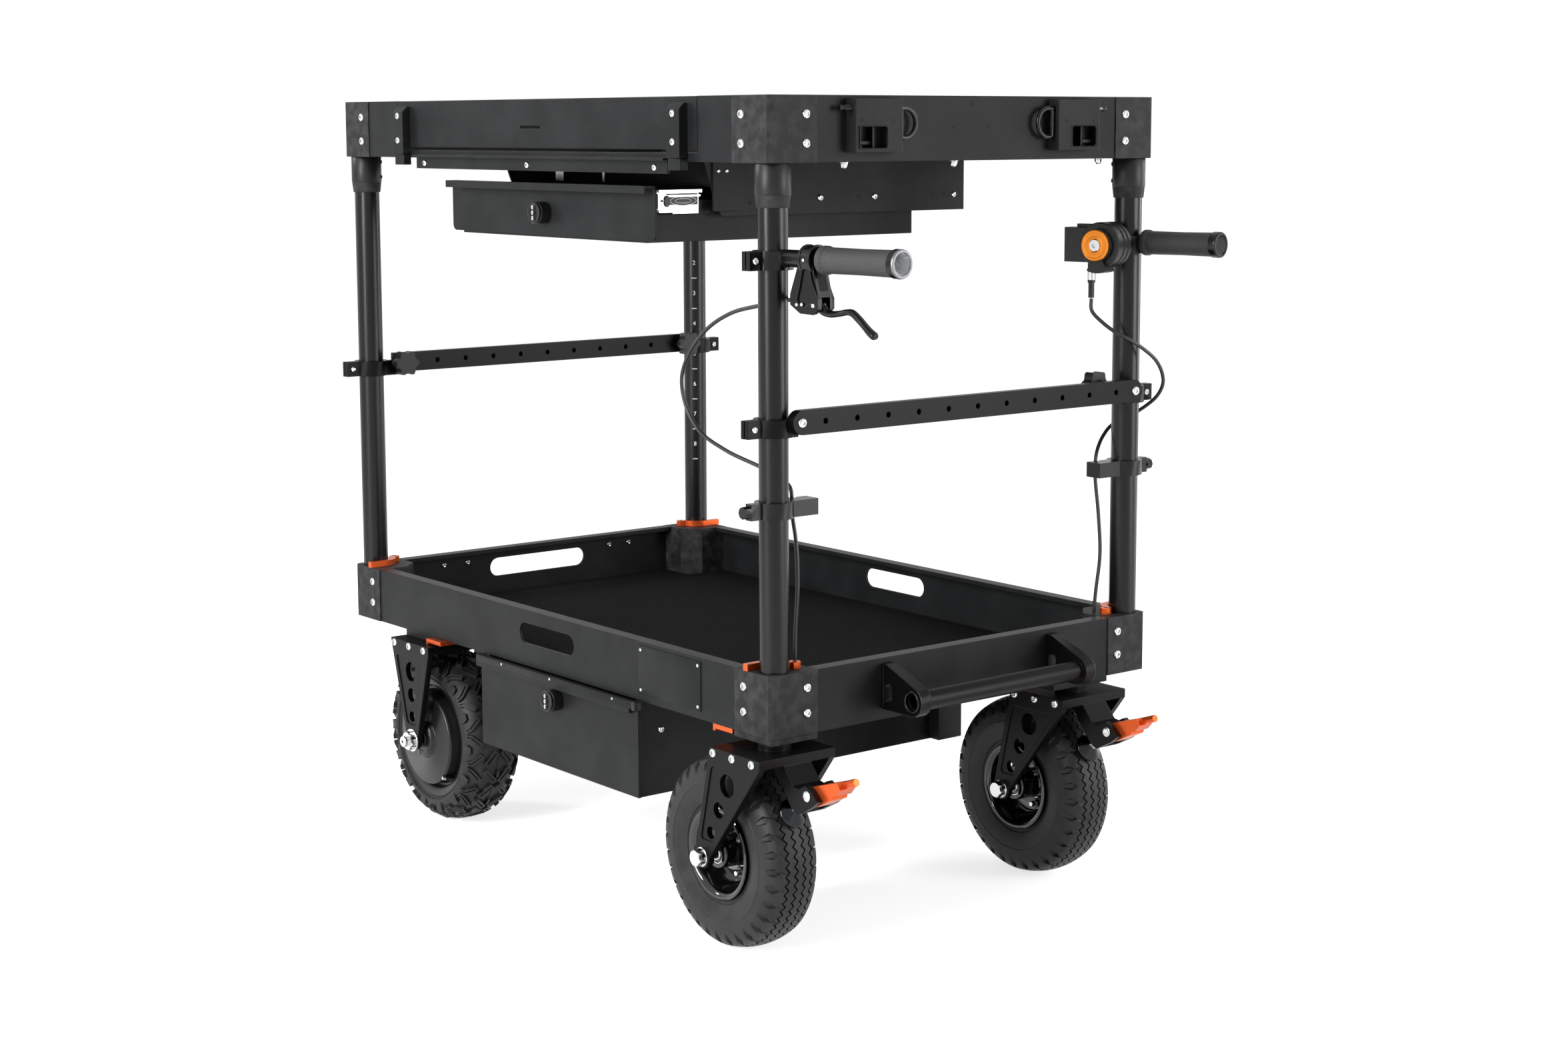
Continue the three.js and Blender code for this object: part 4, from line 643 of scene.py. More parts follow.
def finish_nodes():
    """Puts a material on each CAD piece and shades its rounds."""
    for look, names in NODE_LOOKS.items():
        for name in names:
            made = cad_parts[name]
            made.data.materials.clear()
            made.data.materials.append(LOOKS[look])
            round_off(made, 32)


# Wheels


def along_line(value, table):
    """Reads a value off the straight stretches between a table's points."""
    for (a, low), (b, high) in zip(table, table[1:]):
        if value <= b:
            return low + (high - low) * (value - a) / (b - a)
    return table[-1][1]


def caster_tyre(name, stem_y, body, replaced):
    """Ribbed tyre: four zigzag grooves round the crown, and arrow notches down each shoulder."""
    work = Work()
    notches, steps_each = 32, 8
    sizes = bpy.context.scene.cart_sizes
    swing = sizes.tread_swing / MM
    groove = sizes.tread_depth / MM
    groove_half = sizes.tread_gap / 2 / MM
    x0, z0 = CASTER_AXLE
    # Radius and station of the side wall, then the shoulder's points with their share of the way to the crown
    wall = [
        (55, -25), (61, -31), (67, -33), (68, -34.4), (71, -35.6), (84, -39.2), (91.4, -39.6), (92.2, -40.2),
        (93, -39.6),
    ]
    shoulder = [
        (0, 104.5, -38.9), (0.14, 107.4, -38.3), (0.28, 110.6, -37.3), (0.42, 113.8, -36),
        (0.56, 116.5, -34.4), (0.7, 118.8, -32.7), (0.85, 120.9, -30.8), (1, 122.4, -28.9),
    ]
    # Half width of a notch in pitches, and its depth in mm, by that share
    widths = ((0, 0.125), (0.14, 0.17), (0.56, 0.25), (0.78, 0.1), (1, 0.02))
    depths = ((0, 0), (0.14, 1.4), (0.56, 3.6), (0.85, 4.4), (1, 2.4))

    def crown(station):
        return z0 - 0.006 * station * station

    rings = []
    for index in range(notches * steps_each):
        step = index % steps_each
        turn = (index - step) / steps_each
        plain = step / steps_each
        ring = []
        for r, s in wall:
            ring.append((turn + plain, r, s))
        for share, r, s in shoulder:
            wide = along_line(share, widths)
            corners = (0, wide * 0.62, wide, wide + (0.5 - wide) * 0.45, 0.5)
            place = corners[step] if step < 5 else 1 - corners[8 - step]
            deep = along_line(share, depths) if step in (0, 1, 7) else 0
            fall = Vector((r - 96, s)).normalized() * deep
            ring.append((turn + place, r - fall.x, s - fall.y))
        wave = (1, 0, -1, 0)[index % 4] * swing
        grooves = []
        for middle in (-19, -6.5, 6.5, 19):
            for side, drop in ((-1, 0), (-0.7, groove), (0.7, groove), (1, 0)):
                station = middle + side * groove_half + wave
                grooves.append((turn + plain, crown(station) - drop, station))
        other = [(t, r, -s) for t, r, s in reversed(ring)]
        ring = ring + grooves + other + [(turn + plain, 66, 18), (turn + plain, 66, -18)]
        rings.append([
            Vector((x0 + r * math.cos(a), stem_y + s, z0 + r * math.sin(a)))
            for a, r, s in ((t / notches * math.tau, r, s) for t, r, s in ring)])
    work.loft(rings, 0, closed=True)
    write_piece(work, name, body, ["tyre"], sharp=24, replaced=replaced)


DRIVE_TREADS = 14
DRIVE_CASING = 126.2
# By the distance across the drive tyre's skin: how far sideways, how far from the axle, and the skin's slope
CASING_STATIONS = ((0, 0), (15, 15), (26.5, 26), (36.5, 34.4), (47, 41), (59, 45))
CASING_RADII = ((0, 126.2), (15, 125.6), (26.5, 123), (36.5, 117.8), (47, 109.6), (59, 98.4))
CASING_SLOPES = ((0, 0), (15, 0.14), (26.5, 0.4), (36.5, 0.72), (47, 1.05), (59, 1.3))


def casing_point(centre_y, around, across):
    """The drive tyre's skin at so many mm round its crown and across it, and the way out of it."""
    station, radius, slope = (
        along_line(abs(across), table) for table in (CASING_STATIONS, CASING_RADII, CASING_SLOPES))
    way = math.copysign(1, across)
    angle = around / DRIVE_CASING
    spoke = Vector((math.cos(angle), 0, math.sin(angle)))
    axle = Vector((DRIVE_AXLE[0], centre_y, DRIVE_AXLE[1]))
    out = spoke * math.cos(slope) + Vector((0, way * math.sin(slope), 0))
    return axle + spoke * radius + Vector((0, station * way, 0)), out


def tread_bar(work, centre_y, path, half, high):
    """A bar of tread with a slot down its middle, along [around, across] points of the tyre's skin."""
    points = [Vector(p) for p in path]
    lengths = [0]
    for a, b in zip(points, points[1:]):
        lengths.append(lengths[-1] + (b - a).length)
    total = lengths[-1]
    stops = [
        (0, 0), (2.4, 0), (3.2, 1), *((reach, 1) for reach in lengths[1:-1]), (total - 3.2, 1),
        (total - 2.4, 0), (total, 0),
    ]
    rings = []
    for reach, slotted in stops:
        low = max(k for k, start in enumerate(lengths[:-1]) if start <= reach)
        ahead = (points[low + 1] - points[low]).normalized()
        middle = points[low] + ahead * (reach - lengths[low])
        if low > 0 and reach == lengths[low]:
            ahead = (ahead + (points[low] - points[low - 1]).normalized()).normalized()
        side = Vector((-ahead.y, ahead.x))
        dip = high - 2.8 * slotted
        ring = []
        for off, rise in (
                (-1, -2), (-0.84, high), (-0.3, high), (-0.22, dip), (0.22, dip), (0.3, high), (0.84, high),
                (1, -2)):
            spot, out = casing_point(centre_y, *(middle + side * off * half))
            ring.append(spot + out * rise)
        rings.append(ring)
    work.loft(rings)


def drive_tyre(name, centre_y, body, replaced):
    """Off-road tyre: slotted bars crossed on the crown, chevrons beside them, knobs on the shoulders."""
    work = Work()
    x0, z0 = DRIVE_AXLE
    side = [
        (86, 34), (90, 38), (93, 40), (94, 41.6), (95.4, 42), (96.4, 44), (99, 45), (104, 43.6), (109.6, 41),
        (117.8, 34.4), (123, 26), (125.6, 15), (126.2, 0.9), (127.4, 0.4),
    ]
    profile = [(r, -s) for r, s in side] + [(r, s) for r, s in reversed(side)] + [(94, 24), (94, -24)]
    work.turned(profile, (x0, centre_y, z0), (0, 1, 0), 112, closed=True)
    pitch = math.tau * DRIVE_CASING / DRIVE_TREADS
    for index in range(DRIVE_TREADS):
        start = index * pitch
        for way in (-1, 1):
            for lean in (-1, 1):
                arm = [(start + lean * 4.4, way * 4), (start + lean * 24, way * 21)]
                tread_bar(work, centre_y, arm, 4.9, 5.4)
                bar = [
                    (start + lean * 7, way * 27), (start + lean * 21.5, way * 40.5),
                    (start + lean * 23.5, way * 48),
                ]
                tread_bar(work, centre_y, bar, 4.4, 5.4)
            outline = [(-9.5, 57), (-9.5, 47), (-5.5, 41.5), (5.5, 41.5), (9.5, 47), (9.5, 57)]
            low, high = [], []
            for around, across in outline:
                spot, out = casing_point(centre_y, start + around, way * across)
                low.append(spot - out * 2)
                spot, out = casing_point(centre_y, start + around * 0.86, way * (49 + (across - 49) * 0.86))
                high.append(spot + out * (5 if across < 54 else 1))
            work.loft([low, high])
        nub = [(start + 10, -2.4), (start + 12, 2.4), (start + 21, 1.6), (start + 23, 0), (start + 21, -1.6)]
        low, high = [], []
        for around, across in nub:
            spot, out = casing_point(centre_y, around, across)
            low.append(spot - out * 2)
            high.append(spot + out * 4.4)
        work.loft([low, high])
    write_piece(work, name, body, ["tyre"], sharp=28, replaced=replaced)


def caster_rim(name, stem_y, body, replaced):
    """Two pressed steel halves bolted together, with the hub's bearings."""
    work = Work()
    x0, z0 = CASTER_AXLE
    centre = (x0, stem_y, z0)
    half = [
        (10.5, 6), (20, 6), (22, 4), (39, 3), (43, 5), (48, 12), (50.5, 20), (51.5, 30), (53, 34), (56, 36.6),
        (58, 37.4), (60, 37.4), (61.4, 36.2), (61.2, 34.6), (58, 32), (54, 29), (53, 20), (53, 0),
    ]
    hub = [
        (7, 37), (9, 37), (9, 36), (13.6, 36), (14, 38.6), (18.5, 38.6), (20, 37), (20.6, 30), (20.6, 6),
        (10.5, 6),
    ]
    for way in (-1, 1):

        def part(profile, spot, sides, look=0, flats=()):
            work.turned([(r, s * way) for r, s in profile], spot, (0, 1, 0), sides, look, flats=flats)

        part(half, centre, 96)
        part(hub, centre, 48)
        part([(12.2, 35), (12.4, 37.8), (13.4, 37.8), (13.6, 35)], centre, 48, 1)
        part([(6.6, 34), (6.6, 40), (8.4, 40), (9.2, 38.6), (9.4, 34)], centre, 32, 1)
        for k in range(4):
            angle = (k + 0.44) / 4 * math.tau
            spot = Vector(centre) + Vector((math.cos(angle), 0, math.sin(angle))) * 32.5
            part([(9.5, 2), (9.5, 7), (8.6, 8.4), (0, 8.4)], spot, 32)
            part([(8.3, 8.2), (8.3, 9.4), (0, 9.4)], spot, 32, 1)
            part([(7.4, 9.2), (7.4, 14.6), (6.6, 15.6), (0, 15.6)], spot, 48, flats=(0, 1))
            part([(3.9, 15), (3.9, 21.4), (3, 22.6), (0, 22.6)], spot, 24, 1)
    write_piece(work, name, body, ["enamel", "stainless"], sharp=40, replaced=replaced)


def hub_motor(name, centre_y, body, replaced):
    """Gearless hub motor: rim band, channel, flat-faced covers and bosses, all turned and painted."""
    work = Work()
    x0, z0 = DRIVE_AXLE
    centre = (x0, centre_y, z0)
    half = [
        (84, 0), (84, 33), (87, 36), (91, 38.6), (92.4, 39.4), (92, 40.6), (90, 41), (84, 39), (81, 38.6),
        (79.5, 37), (78.5, 30), (77, 28.4), (74, 28.4), (72.6, 30), (72, 48), (71.2, 50.6), (69.4, 51.8),
        (68.8, 52), (31.4, 52), (30.4, 52.8), (29.6, 55.4), (28, 58.4), (26, 59.8), (23, 60.2), (19.6, 60.2),
        (19, 59), (13.4, 59), (12.8, 60.6), (9, 60.6), (9, 56),
    ]
    for way in (-1, 1):
        work.turned([(r, s * way) for r, s in half], centre, (0, 1, 0), 112)
        # The screws' sockets are floored with painted shade, look 1.
        for k in range(6):
            angle = k / 6 * math.tau + 0.4
            spot = Vector(centre) + Vector((math.cos(angle) * 24, 59.6 * way, math.sin(angle) * 24))
            work.screw(spot, (0, way, 0), 1.8, look=0, recess=1)
    valve = Vector(centre) + Vector((53, -36, -57))
    stem_end = valve + Vector((-2.4, -12, 2.6))
    work.tube([valve + Vector((5, 4, -6)), valve, stem_end], 3.6, 16)
    work.tube([stem_end, valve + Vector((-3.4, -17, 3.7))], 2.6, 16, 2)
    write_piece(work, name, body, ["motor", "hole", "zinc"], sharp=40, replaced=replaced)


def make_caster_wheels():
    """Tyre and rim of both caster wheels."""
    for side, stem_y in CASTER_STEMS.items():
        caster_tyre(f"caster_tread_{side}", stem_y, f"caster_wheel_{side}", f"caster_tyre_{side}")
        caster_rim(f"caster_pressed_rim_{side}", stem_y, f"caster_wheel_{side}", f"caster_rim_{side}")


def make_drive_wheels():
    """Tyre and motor covers of both drive wheels."""
    for side, centre_y in DRIVE_Y.items():
        drive_tyre(f"drive_tread_{side}", centre_y, f"drive_wheel_{side}", f"drive_tyre_{side}")
        hub_motor(f"drive_motor_cover_{side}", centre_y, f"drive_wheel_{side}", f"hub_motor_{side}")


# Fasteners


def make_casting_screws():
    """Two button-head screws in each outer face of the corner castings."""
    work = Work()
    for sx, sy in CORNERS.values():
        for z in (1076.5, 1040.5, 354, 321):
            work.screw((sx * (HALF_X - 56), sy * HALF_Y, z), (0, sy, 0))
            work.screw((sx * HALF_X, sy * (HALF_Y - 58), z), (sx, 0, 0))
    write_screws(work, "corner_casting_screws", "cart")


def make_deck_screws():
    """Screws of the upper deck's edge and underside, the drawer case, the drive end and the cabinet."""
    work = Work()
    for x in (-286, -8, 296):
        work.screw((x, -342, 1009), (0, -1, 0), 4.6)
    for y, z, radius in ((-27, 963, 4.6), (72, 963, 4.6), (223, 963, 4.2)):
        work.screw((250, y, z), (1, 0, 0), radius)
    for y in (-206, -192):
        work.screw((253, y, 1002), (1, 0, 0), 2.6)
    for y in (-181, -136, 144, 184):
        work.screw((-528, y, 355), (1, 0, 0), 4.4)
    work.screw((240, -300, 247), (1, 0, 0), 4.6)
    for y in (50, 190):
        work.screw((290, y, UPPER_Z), (0, 0, -1), 6)
    write_screws(work, "deck_screws", "cart")


def make_door_screws():
    """Two screws in each of the door's brackets."""
    work = Work()
    for x in (-346, 350):
        for z in (1078, 1042):
            work.screw((x, -352, z), (0, -1, 0), 4.8)
    write_screws(work, "door_bracket_screws", "upper_door")


def ray_loop(corners, middle, angles):
    """Where rays from the middle at those angles meet a polygon."""
    loop = []
    for angle in angles:
        ray = Vector((math.cos(angle), math.sin(angle)))
        best = None
        for a, b in zip(corners, corners[1:] + corners[:1]):
            edge = Vector(b) - Vector(a)
            start = Vector(a) - Vector(middle)
            cross = ray.x * edge.y - ray.y * edge.x
            if abs(cross) < 1e-9:
                continue
            reach = (start.x * edge.y - start.y * edge.x) / cross
            share = (start.x * ray.y - start.y * ray.x) / cross
            if reach > 0 and -1e-6 <= share <= 1 + 1e-6 and (best is None or reach > best):
                best = reach
        loop.append(Vector(middle) + ray * best)
    return loop


def rounded(corners, radius, steps=5):
    """A polygon with its corners cut to short curves."""
    result = []
    for before, corner, after in zip(corners[-1:] + corners[:-1], corners, corners[1:] + corners[:1]):
        here = Vector(corner)
        start = here + (Vector(before) - here).normalized() * radius
        end = here + (Vector(after) - here).normalized() * radius
        for k in range(steps + 1):
            t = k / steps
            result.append(tuple(start * (1 - t) ** 2 + here * 2 * t * (1 - t) + end * t * t))
    return result


def matched_loops(outer, inner, middle):
    """Both polygons with a point on every ray from the middle through a corner of either."""
    angles = sorted({round(math.atan2(b - middle[1], a - middle[0]), 5) for a, b in outer + inner})
    return ray_loop(outer, middle, angles), ray_loop(inner, middle, angles)


def cheek_border(work, outer, inner, face, way, proud=1.3):
    """The cheek's raised border, which leaves its middle as a sunk panel."""
    middle = tuple(sum((Vector(p) for p in inner), Vector((0, 0))) / len(inner))
    wide, narrow = matched_loops(outer, inner, middle)
    rows = [
        [(p.x, face - way * 0.2, p.y) for p in wide], [(p.x, face + way * proud, p.y) for p in wide],
        [(p.x, face + way * proud, p.y) for p in narrow], [(p.x, face - way * 0.2, p.y) for p in narrow],
    ]
    work.loft(rows, 0, closed=True)


def cheek_outline(left, right, top, drop, axle, eye):
    """A fork cheek seen from its side, and the sunk panel in it."""
    x0, z0 = axle
    turns = [math.pi * (1 + k / 12) for k in range(13)]
    arc = [(x0 + eye * math.cos(t), z0 + eye * math.sin(t)) for t in turns]
    outer = [(left, top), *arc, (right, top - drop), (right, top)]
    low = z0 + eye + 9
    high = top - 24

    def edge(x_top, z_top, x_low, z):
        return x_low + (x_top - x_low) * (z - z0) / (z_top - z0)

    inner = [
        (edge(left, top, x0 - eye, high) + 8.5, high), (edge(left, top, x0 - eye, low) + 7.5, low),
        (edge(right, top - drop, x0 + eye, low) - 7.5, low),
        (edge(right, top - drop, x0 + eye, high) - 8.5, high),
    ]
    return outer, rounded(inner, 7)


def cheek_borders(name, body, outline, middle_y, half):
    """Borders on both outer faces of a fork's cheeks."""
    borders = Work()
    outer, inner = cheek_outline(*outline)
    for way in (-1, 1):
        cheek_border(borders, outer, inner, middle_y + way * half, way)
    write_piece(borders, name, body, ["milled"])


def brake_pad(side, stem_y):
    """The caster brake's polished cone, with the bright nut and rod that press it on the tread."""
    work = Work()
    turn = math.radians(32.6)
    out = Vector((math.cos(turn), 0, math.sin(turn)))
    base = Vector((CASTER_AXLE[0], stem_y, CASTER_AXLE[1])) + out * 130.5
    work.turned(
        [(0, -0.4), (17.6, -0.4), (19, 0.6), (19.3, 2.4), (18.6, 3.8), (16.6, 5), (8, 12.8), (6.9, 14.2),
         (6.6, 16), (0, 16)],
        base, out, 48)
    work.turned([(7.8, 15.4), (7.8, 19.6), (7, 20.4), (0, 20.4)], base, out, 48, 1, flats=(0, 1))
    work.turned([(6.5, 20), (6.5, 29.4), (6, 30), (0, 30)], base, out, 24, 1)
    looks = ["dark_chrome", "stainless"]
    write_piece(work, f"caster_brake_pad_{side}", f"caster_{side}", looks, sharp=35)


def caster_hardware(side, stem_y):
    """Cheek screws, borders, axle bolt and brake pivot of one caster."""
    work = Work()
    x0, z0 = CASTER_AXLE
    outline = (453.5, 556.5, 276.7, 12, CASTER_AXLE, 15)
    cheek_borders(f"caster_cheek_borders_{side}", f"caster_{side}", outline, stem_y, 60)
    brake_pad(side, stem_y)
    for way in (-1, 1):
        face = stem_y + way * 61.3
        for x in (461, 501, 541):
            work.screw((x, face, 270), (0, way, 0), 5.8)
        work.turned(
            [(12.6, 0), (12.6, 1.4), (12, 1.9), (0, 1.9)], (x0, face, z0), (0, way, 0), 48)
        work.turned(
            [(11.6, 1.6), (11.6, 10.4), (10.2, 11.8), (0, 11.8)],
            (x0, face, z0), (0, way, 0), 48, flats=(0, 1))
        work.turned(
            [(7, 0), (7, 0.8), (6, 1.4), (3.4, 1.4), (2.8, 0.6), (0, 0.6)],
            (601.5, stem_y + way * 22, 236), (0, way, 0), 28)
    write_screws(work, f"caster_bolts_{side}", f"caster_{side}")


def drive_hardware(side, centre_y):
    """Cheek screws, borders and axle nuts of one drive wheel."""
    work = Work()
    x0, z0 = DRIVE_AXLE
    outline = (-383, -272, 283.7, 12, DRIVE_AXLE, 15)
    cheek_borders(f"drive_cheek_borders_{side}", "cart", outline, centre_y, 74)
    for way in (-1, 1):
        face = centre_y + way * 75.3
        for x in (-371, -328, -285):
            work.screw((x, face, 277.5), (0, way, 0), 5.8)
        work.hex_head((x0, face, z0), (0, way, 0), 14.8, 9.6, 17.5)
        work.turned(
            [(8.4, 9), (8.4, 16.2), (7.4, 17.2), (2.6, 17.2), (2.2, 14), (0, 14)],
            (x0, face, z0), (0, way, 0), 28)
    write_screws(work, f"drive_axle_nuts_{side}", "cart")


def make_clamp_bolts():
    """Bolts through the ears of the rail clamps and handle clamps."""
    work = Work()
    for sx in (-1, 1):
        for sy in (-1, 1):
            for way in (-1, 1):
                work.screw((sx * POST_X + way * 7, sy * (POST_Y + 35), 687.5), (way, 0, 0), 4.4)
    for y in (-298, 298):
        work.screw((545, y, 695), (1, 0, 0), 6.4)
    for side, out in (("door", -1), ("far", 1)):
        post, along, left = handle_frame(side)
        for way in (-1, 1):
            spot = post + Vector((0, 0, HANDLE_Z - 3)) + left * out * 36 + along * way * 7
            work.screw(spot, along * way, 4.6)
    write_screws(work, "clamp_bolts", "cart")


def make_caster_hardware():
    """Borders, brake pads, screws and axle bolts of both casters."""
    for side, stem_y in CASTER_STEMS.items():
        caster_hardware(side, stem_y)


def make_drive_hardware():
    """Borders, screws and axle nuts of both drive wheels."""
    for side, centre_y in DRIVE_Y.items():
        drive_hardware(side, centre_y)


# Drawers


def make_slides():
    """Bright ball-bearing slides beside the open drawer, with a black release latch and a stamped tab."""
    for sign in (-1, 1):
        side = "right" if sign > 0 else "left"
        work = Work()

        # The closed drawer brings this web past the case's own member, which leaves it 0.3 mm up to z 966:
        # it is thin there, and everything thicker stands in front of that member or above it.
        for near, far, front, back, low, high in (
                (238.02, 238.1, -300, -229, 946, 980), (238.1, 246.5, -300, -229, 978, 980),
                (238.1, 246.5, -300, -277.5, 946, 948), (244.8, 246.5, -300, -277.5, 946, 952),
                (244.8, 246.5, -300, -229, 974, 980), (238.1, 243, -298, -277.5, 955, 957.5),
                (238.1, 238.16, -277.5, -229, 955, 957.5), (238.1, 243, -298, -229, 968.5, 971),
                (238.1, 246, -301, -297, 953, 973), (242.6, 244.4, -297, -283, 956, 962),
                (242.6, 244.4, -297, -283, 965, 971)):
            x0, x1 = sorted((sign * near, sign * far))
            work.block((x0, front, low), (x1, back, high))
        write_piece(work, f"upper_slide_{side}", "upper_drawer", ["zinc"])
        latch = Work()

        def oval(middle, long, high):
            return [(middle + long * math.cos(t), 963 + high * math.sin(t)) for t in circle(32)]

        near, far = sorted((sign * 238.1, sign * 238.13))
        latch.prism([(-282, 954.5), (-230, 954.5), (-230, 973), (-282, 973)], "x", near, far)
        near, far = sorted((sign * 238.13, sign * 238.16))
        for long, high, thick in ((22, 6.4, 1.1), (14, 3.4, 0.9)):
            rows = [[(x, y, z) for y, z in oval(-254, long - inset, high - inset)] for x, inset in
                    ((near, 0), (far, 0), (far, thick), (near, thick))]
            latch.loft(rows, closed=True, look=1)
        near, far = sorted((sign * 244.4, sign * 246.4))
        latch.prism(oval(-286, 4.6, 7.6), "x", near, far)
        looks = ["plastic", "blasted"]
        write_piece(latch, f"upper_slide_latch_{side}", "upper_drawer", looks)


def make_ledge():
    """The lower drawer's finger ledge: its upright lip with three small screws and an end cap."""
    ledge = Work()
    ledge.prism(
        [(-349.4, 282), (-349.4, 291.4), (-348.4, 292.4), (-340.6, 292.4), (-340.6, 290.4),
         (-347, 290.4), (-347, 282)],
        "x", -157, 241)
    write_piece(ledge, "lower_drawer_ledge", "lower_drawer", ["coat"], bevel=0.3)
    cap = Work()
    cap.block((241, -349.8, 280.4), (249, -338.6, 292.8))
    write_piece(cap, "lower_ledge_cap", "lower_drawer", ["plastic"], bevel=0.8)
    screws = Work()
    for x in (-87, 40, 195):
        screws.screw((x, -349.4, 288.6), (0, -1, 0), 1.9)
    write_screws(screws, "lower_ledge_screws", "lower_drawer")


def make_hangers():
    """Bright clips that hold the drawer's case up to the deck, and the dome nuts below the deck's edge."""
    clips = Work()
    for x, half in ((-80, 10), (31, 2.6)):
        clips.block((x - half, -241.2, 984.8), (x + half, -240, 1012))
        clips.block((x - half, -240, 1010), (x + half, -224, 1012))
    write_piece(clips, "drawer_clips", "cart", ["zinc"], bevel=0.4)
    nuts = Work()
    for x in (-500, 500):
        for y in (-193, -5, 264):
            nuts.turned(
                [(6.4, 1016.9), (6.4, 1015.8), (4.8, 1015.6), (4.8, 1012), (4.2, 1011.5), (3.6, 1009.6),
                 (2.2, 1008.4), (0, 1008)],
                (x, y, 0), (0, 0, 1), 30, flats=(2, 3))
    write_piece(nuts, "deck_dome_nuts", "cart", ["stainless"], sharp=40)


def lock_face(name, x, z, face_y, body):
    """A code lock's front: raised ring, window and its three numbered wheels."""
    work = Work()
    pitch = 7.6
    work.turned(
        [(15.4, -0.3), (15.4, 1.6), (14.2, 2.8), (12.8, 2.8), (12, 1.9), (9.4, 1.9), (9.4, 1.1), (0, 1.1)],
        (x, face_y, z), (0, -1, 0), 48)
    for k in (-1, 0, 1):
        work.turned(
            [(0, -3.4), (4.6, -3.4), (5.2, -2.8), (5.2, 2.8), (4.6, 3.4), (0, 3.4)],
            (x, face_y + 1.6, z + k * pitch), (1, 0, 0), 20)
    write_piece(work, name, body, ["plastic"])
    for k in (-1, 0, 1):
        place = Matrix.Translation(at(x, face_y - 3.75, z + k * pitch)) @ Matrix.Rotation(math.pi / 2, 4, "X")
        write_number(f"{name}_digit_{k + 2}", "0", 7.8, 0.15, place, body, 0.12)


def make_locks():
    """The fronts of both code locks."""
    lock_face("upper_lock_face", -8, 942.5, -331.3, "upper_lock")
    lock_face("lower_lock_face", 45, 259, -357.6, "lower_lock")


def make_carpet():
    """The lower deck's carpet, a little uneven, with its edge turned down."""
    work = Work()
    half_x, half_y, top, bottom, notch, edge = 522, 328, 300.6, 296.6, 71.5, 2.0
    outline = [
        (half_x - notch, -half_y), (half_x - notch, -half_y + notch), (half_x, -half_y + notch),
        (half_x, half_y - notch), (half_x - notch, half_y - notch), (half_x - notch, half_y),
        (-half_x + notch, half_y), (-half_x + notch, half_y - notch), (-half_x, half_y - notch),
        (-half_x, -half_y + notch), (-half_x + notch, -half_y + notch), (-half_x + notch, -half_y),
    ]
    work.prism(outline, "z", bottom, top)
    write_piece(
        work, "lower_deck_carpet", "cart", ["carpet"], bevel=edge, replaced="lower_mat")


def make_corner_plates():
    """Small plates that close the decks' floors where the castings' inner corners are cut off."""
    plates = Work()
    leg, reach = 76, 28
    for sx, sy in CORNERS.values():
        x, y = sx * (HALF_X - leg), sy * (HALF_Y - leg)
        for floor in (UPPER_Z, LOWER_Z):
            outline = [(x - sx, y - sy), (x + sx * reach, y - sy), (x - sx, y + sy * reach)]
            plates.prism(outline, "z", floor + 0.4, floor + 2.9)
    write_piece(plates, "deck_corner_plates", "cart", ["coat"])


# Handles


def handle_frame(side):
    """A handle's post axis and its own X and Y directions."""
    sy, turn = {"door": (-1, 5), "far": (1, 11)}[side]
    along = Vector((math.cos(math.radians(turn)), math.sin(math.radians(turn)), 0))
    return Vector((POST_X, sy * POST_Y, 0)), along, Vector((-along.y, along.x, 0))


def make_grips():
    """Lock-on grips: flared collar, patterned sleeve, end ring and cap."""
    for side, start, end, look, node in (
            ("door", 91, 223, "grip_grey", "brake_grip"), ("far", 29, 150, "grip_black", "throttle_grip")):
        origin, along, _ = handle_frame(side)
        base = origin + Vector((0, 0, HANDLE_Z))
        work = Work()
        sleeve_end = end - 12
        work.turned(
            [(11.4, start), (17.6, start), (18, start + 1.5), (17.8, start + 7), (16.3, start + 9),
             (15.9, (start + end) / 2), (16.5, sleeve_end - 4), (17, sleeve_end), (12, sleeve_end)],
            base, along, 48)
        work.turned(
            [(12, sleeve_end), (16.6, sleeve_end), (16.6, sleeve_end + 1.2), (17.9, sleeve_end + 1.6),
             (17.9, end - 2.4)],
            base, along, 48, 1)
        work.turned(
            [(17.9, end - 2.4), (17.4, end - 0.6), (16.6, end), (14.2, end),
             (13.9, end - 0.8)], base, along, 48, 2)
        work.turned([(13.9, end - 0.8), (13, end - 1.4), (0, end - 1.4)], base, along, 48, 1)
        edge_look = "blasted" if side == "door" else "alloy"
        looks = [look, "alloy", edge_look]
        write_piece(work, f"{side}_grip_sleeve", "cart", looks, sharp=35, replaced=node)
        screws = Work()
        down = base + along * (end - 6) + Vector((0, 0, -17.6))
        screws.screw(down, (0, 0, -1), 2.6, 0.6)
        write_screws(screws, f"{side}_grip_ring_screw", "cart")


BRAKE_ROUTE = [
    (27, 28.4, 851), (4, 27, 847), (-60, 27, 836), (-125, 28, 822), (-182, 30, 796), (-225, 34, 761),
    (-246, 38, 727), (-240, 40, 692), (-214, 42, 661), (-156, 42, 640), (-66, 42, 622), (-20, 42, 606),
    (-16, 42, 590), (-16, 42, 574), (-8, 42, 538), (-6, 43, 480), (-12, 44, 420), (-13, 44, 376),
]
THROTTLE_ROUTE = [
    (-12, -58.4, 823), (-11, -58, 806), (2, -50, 790), (17, -38, 776), (27, -22, 766), (34, 0, 752),
    (37, 22, 735), (36, 36, 716), (32, 42, 700), (20, 43, 682), (2, 38, 666), (-14, 26, 653),
    (-27, 2, 640), (-27, -16, 625), (-21, -32, 610), (-17, -40, 597), (-16, -42, 575), (-12, -38, 516),
    (-8, -38, 460), (-11, -42, 410), (-13, -44, 376),
]


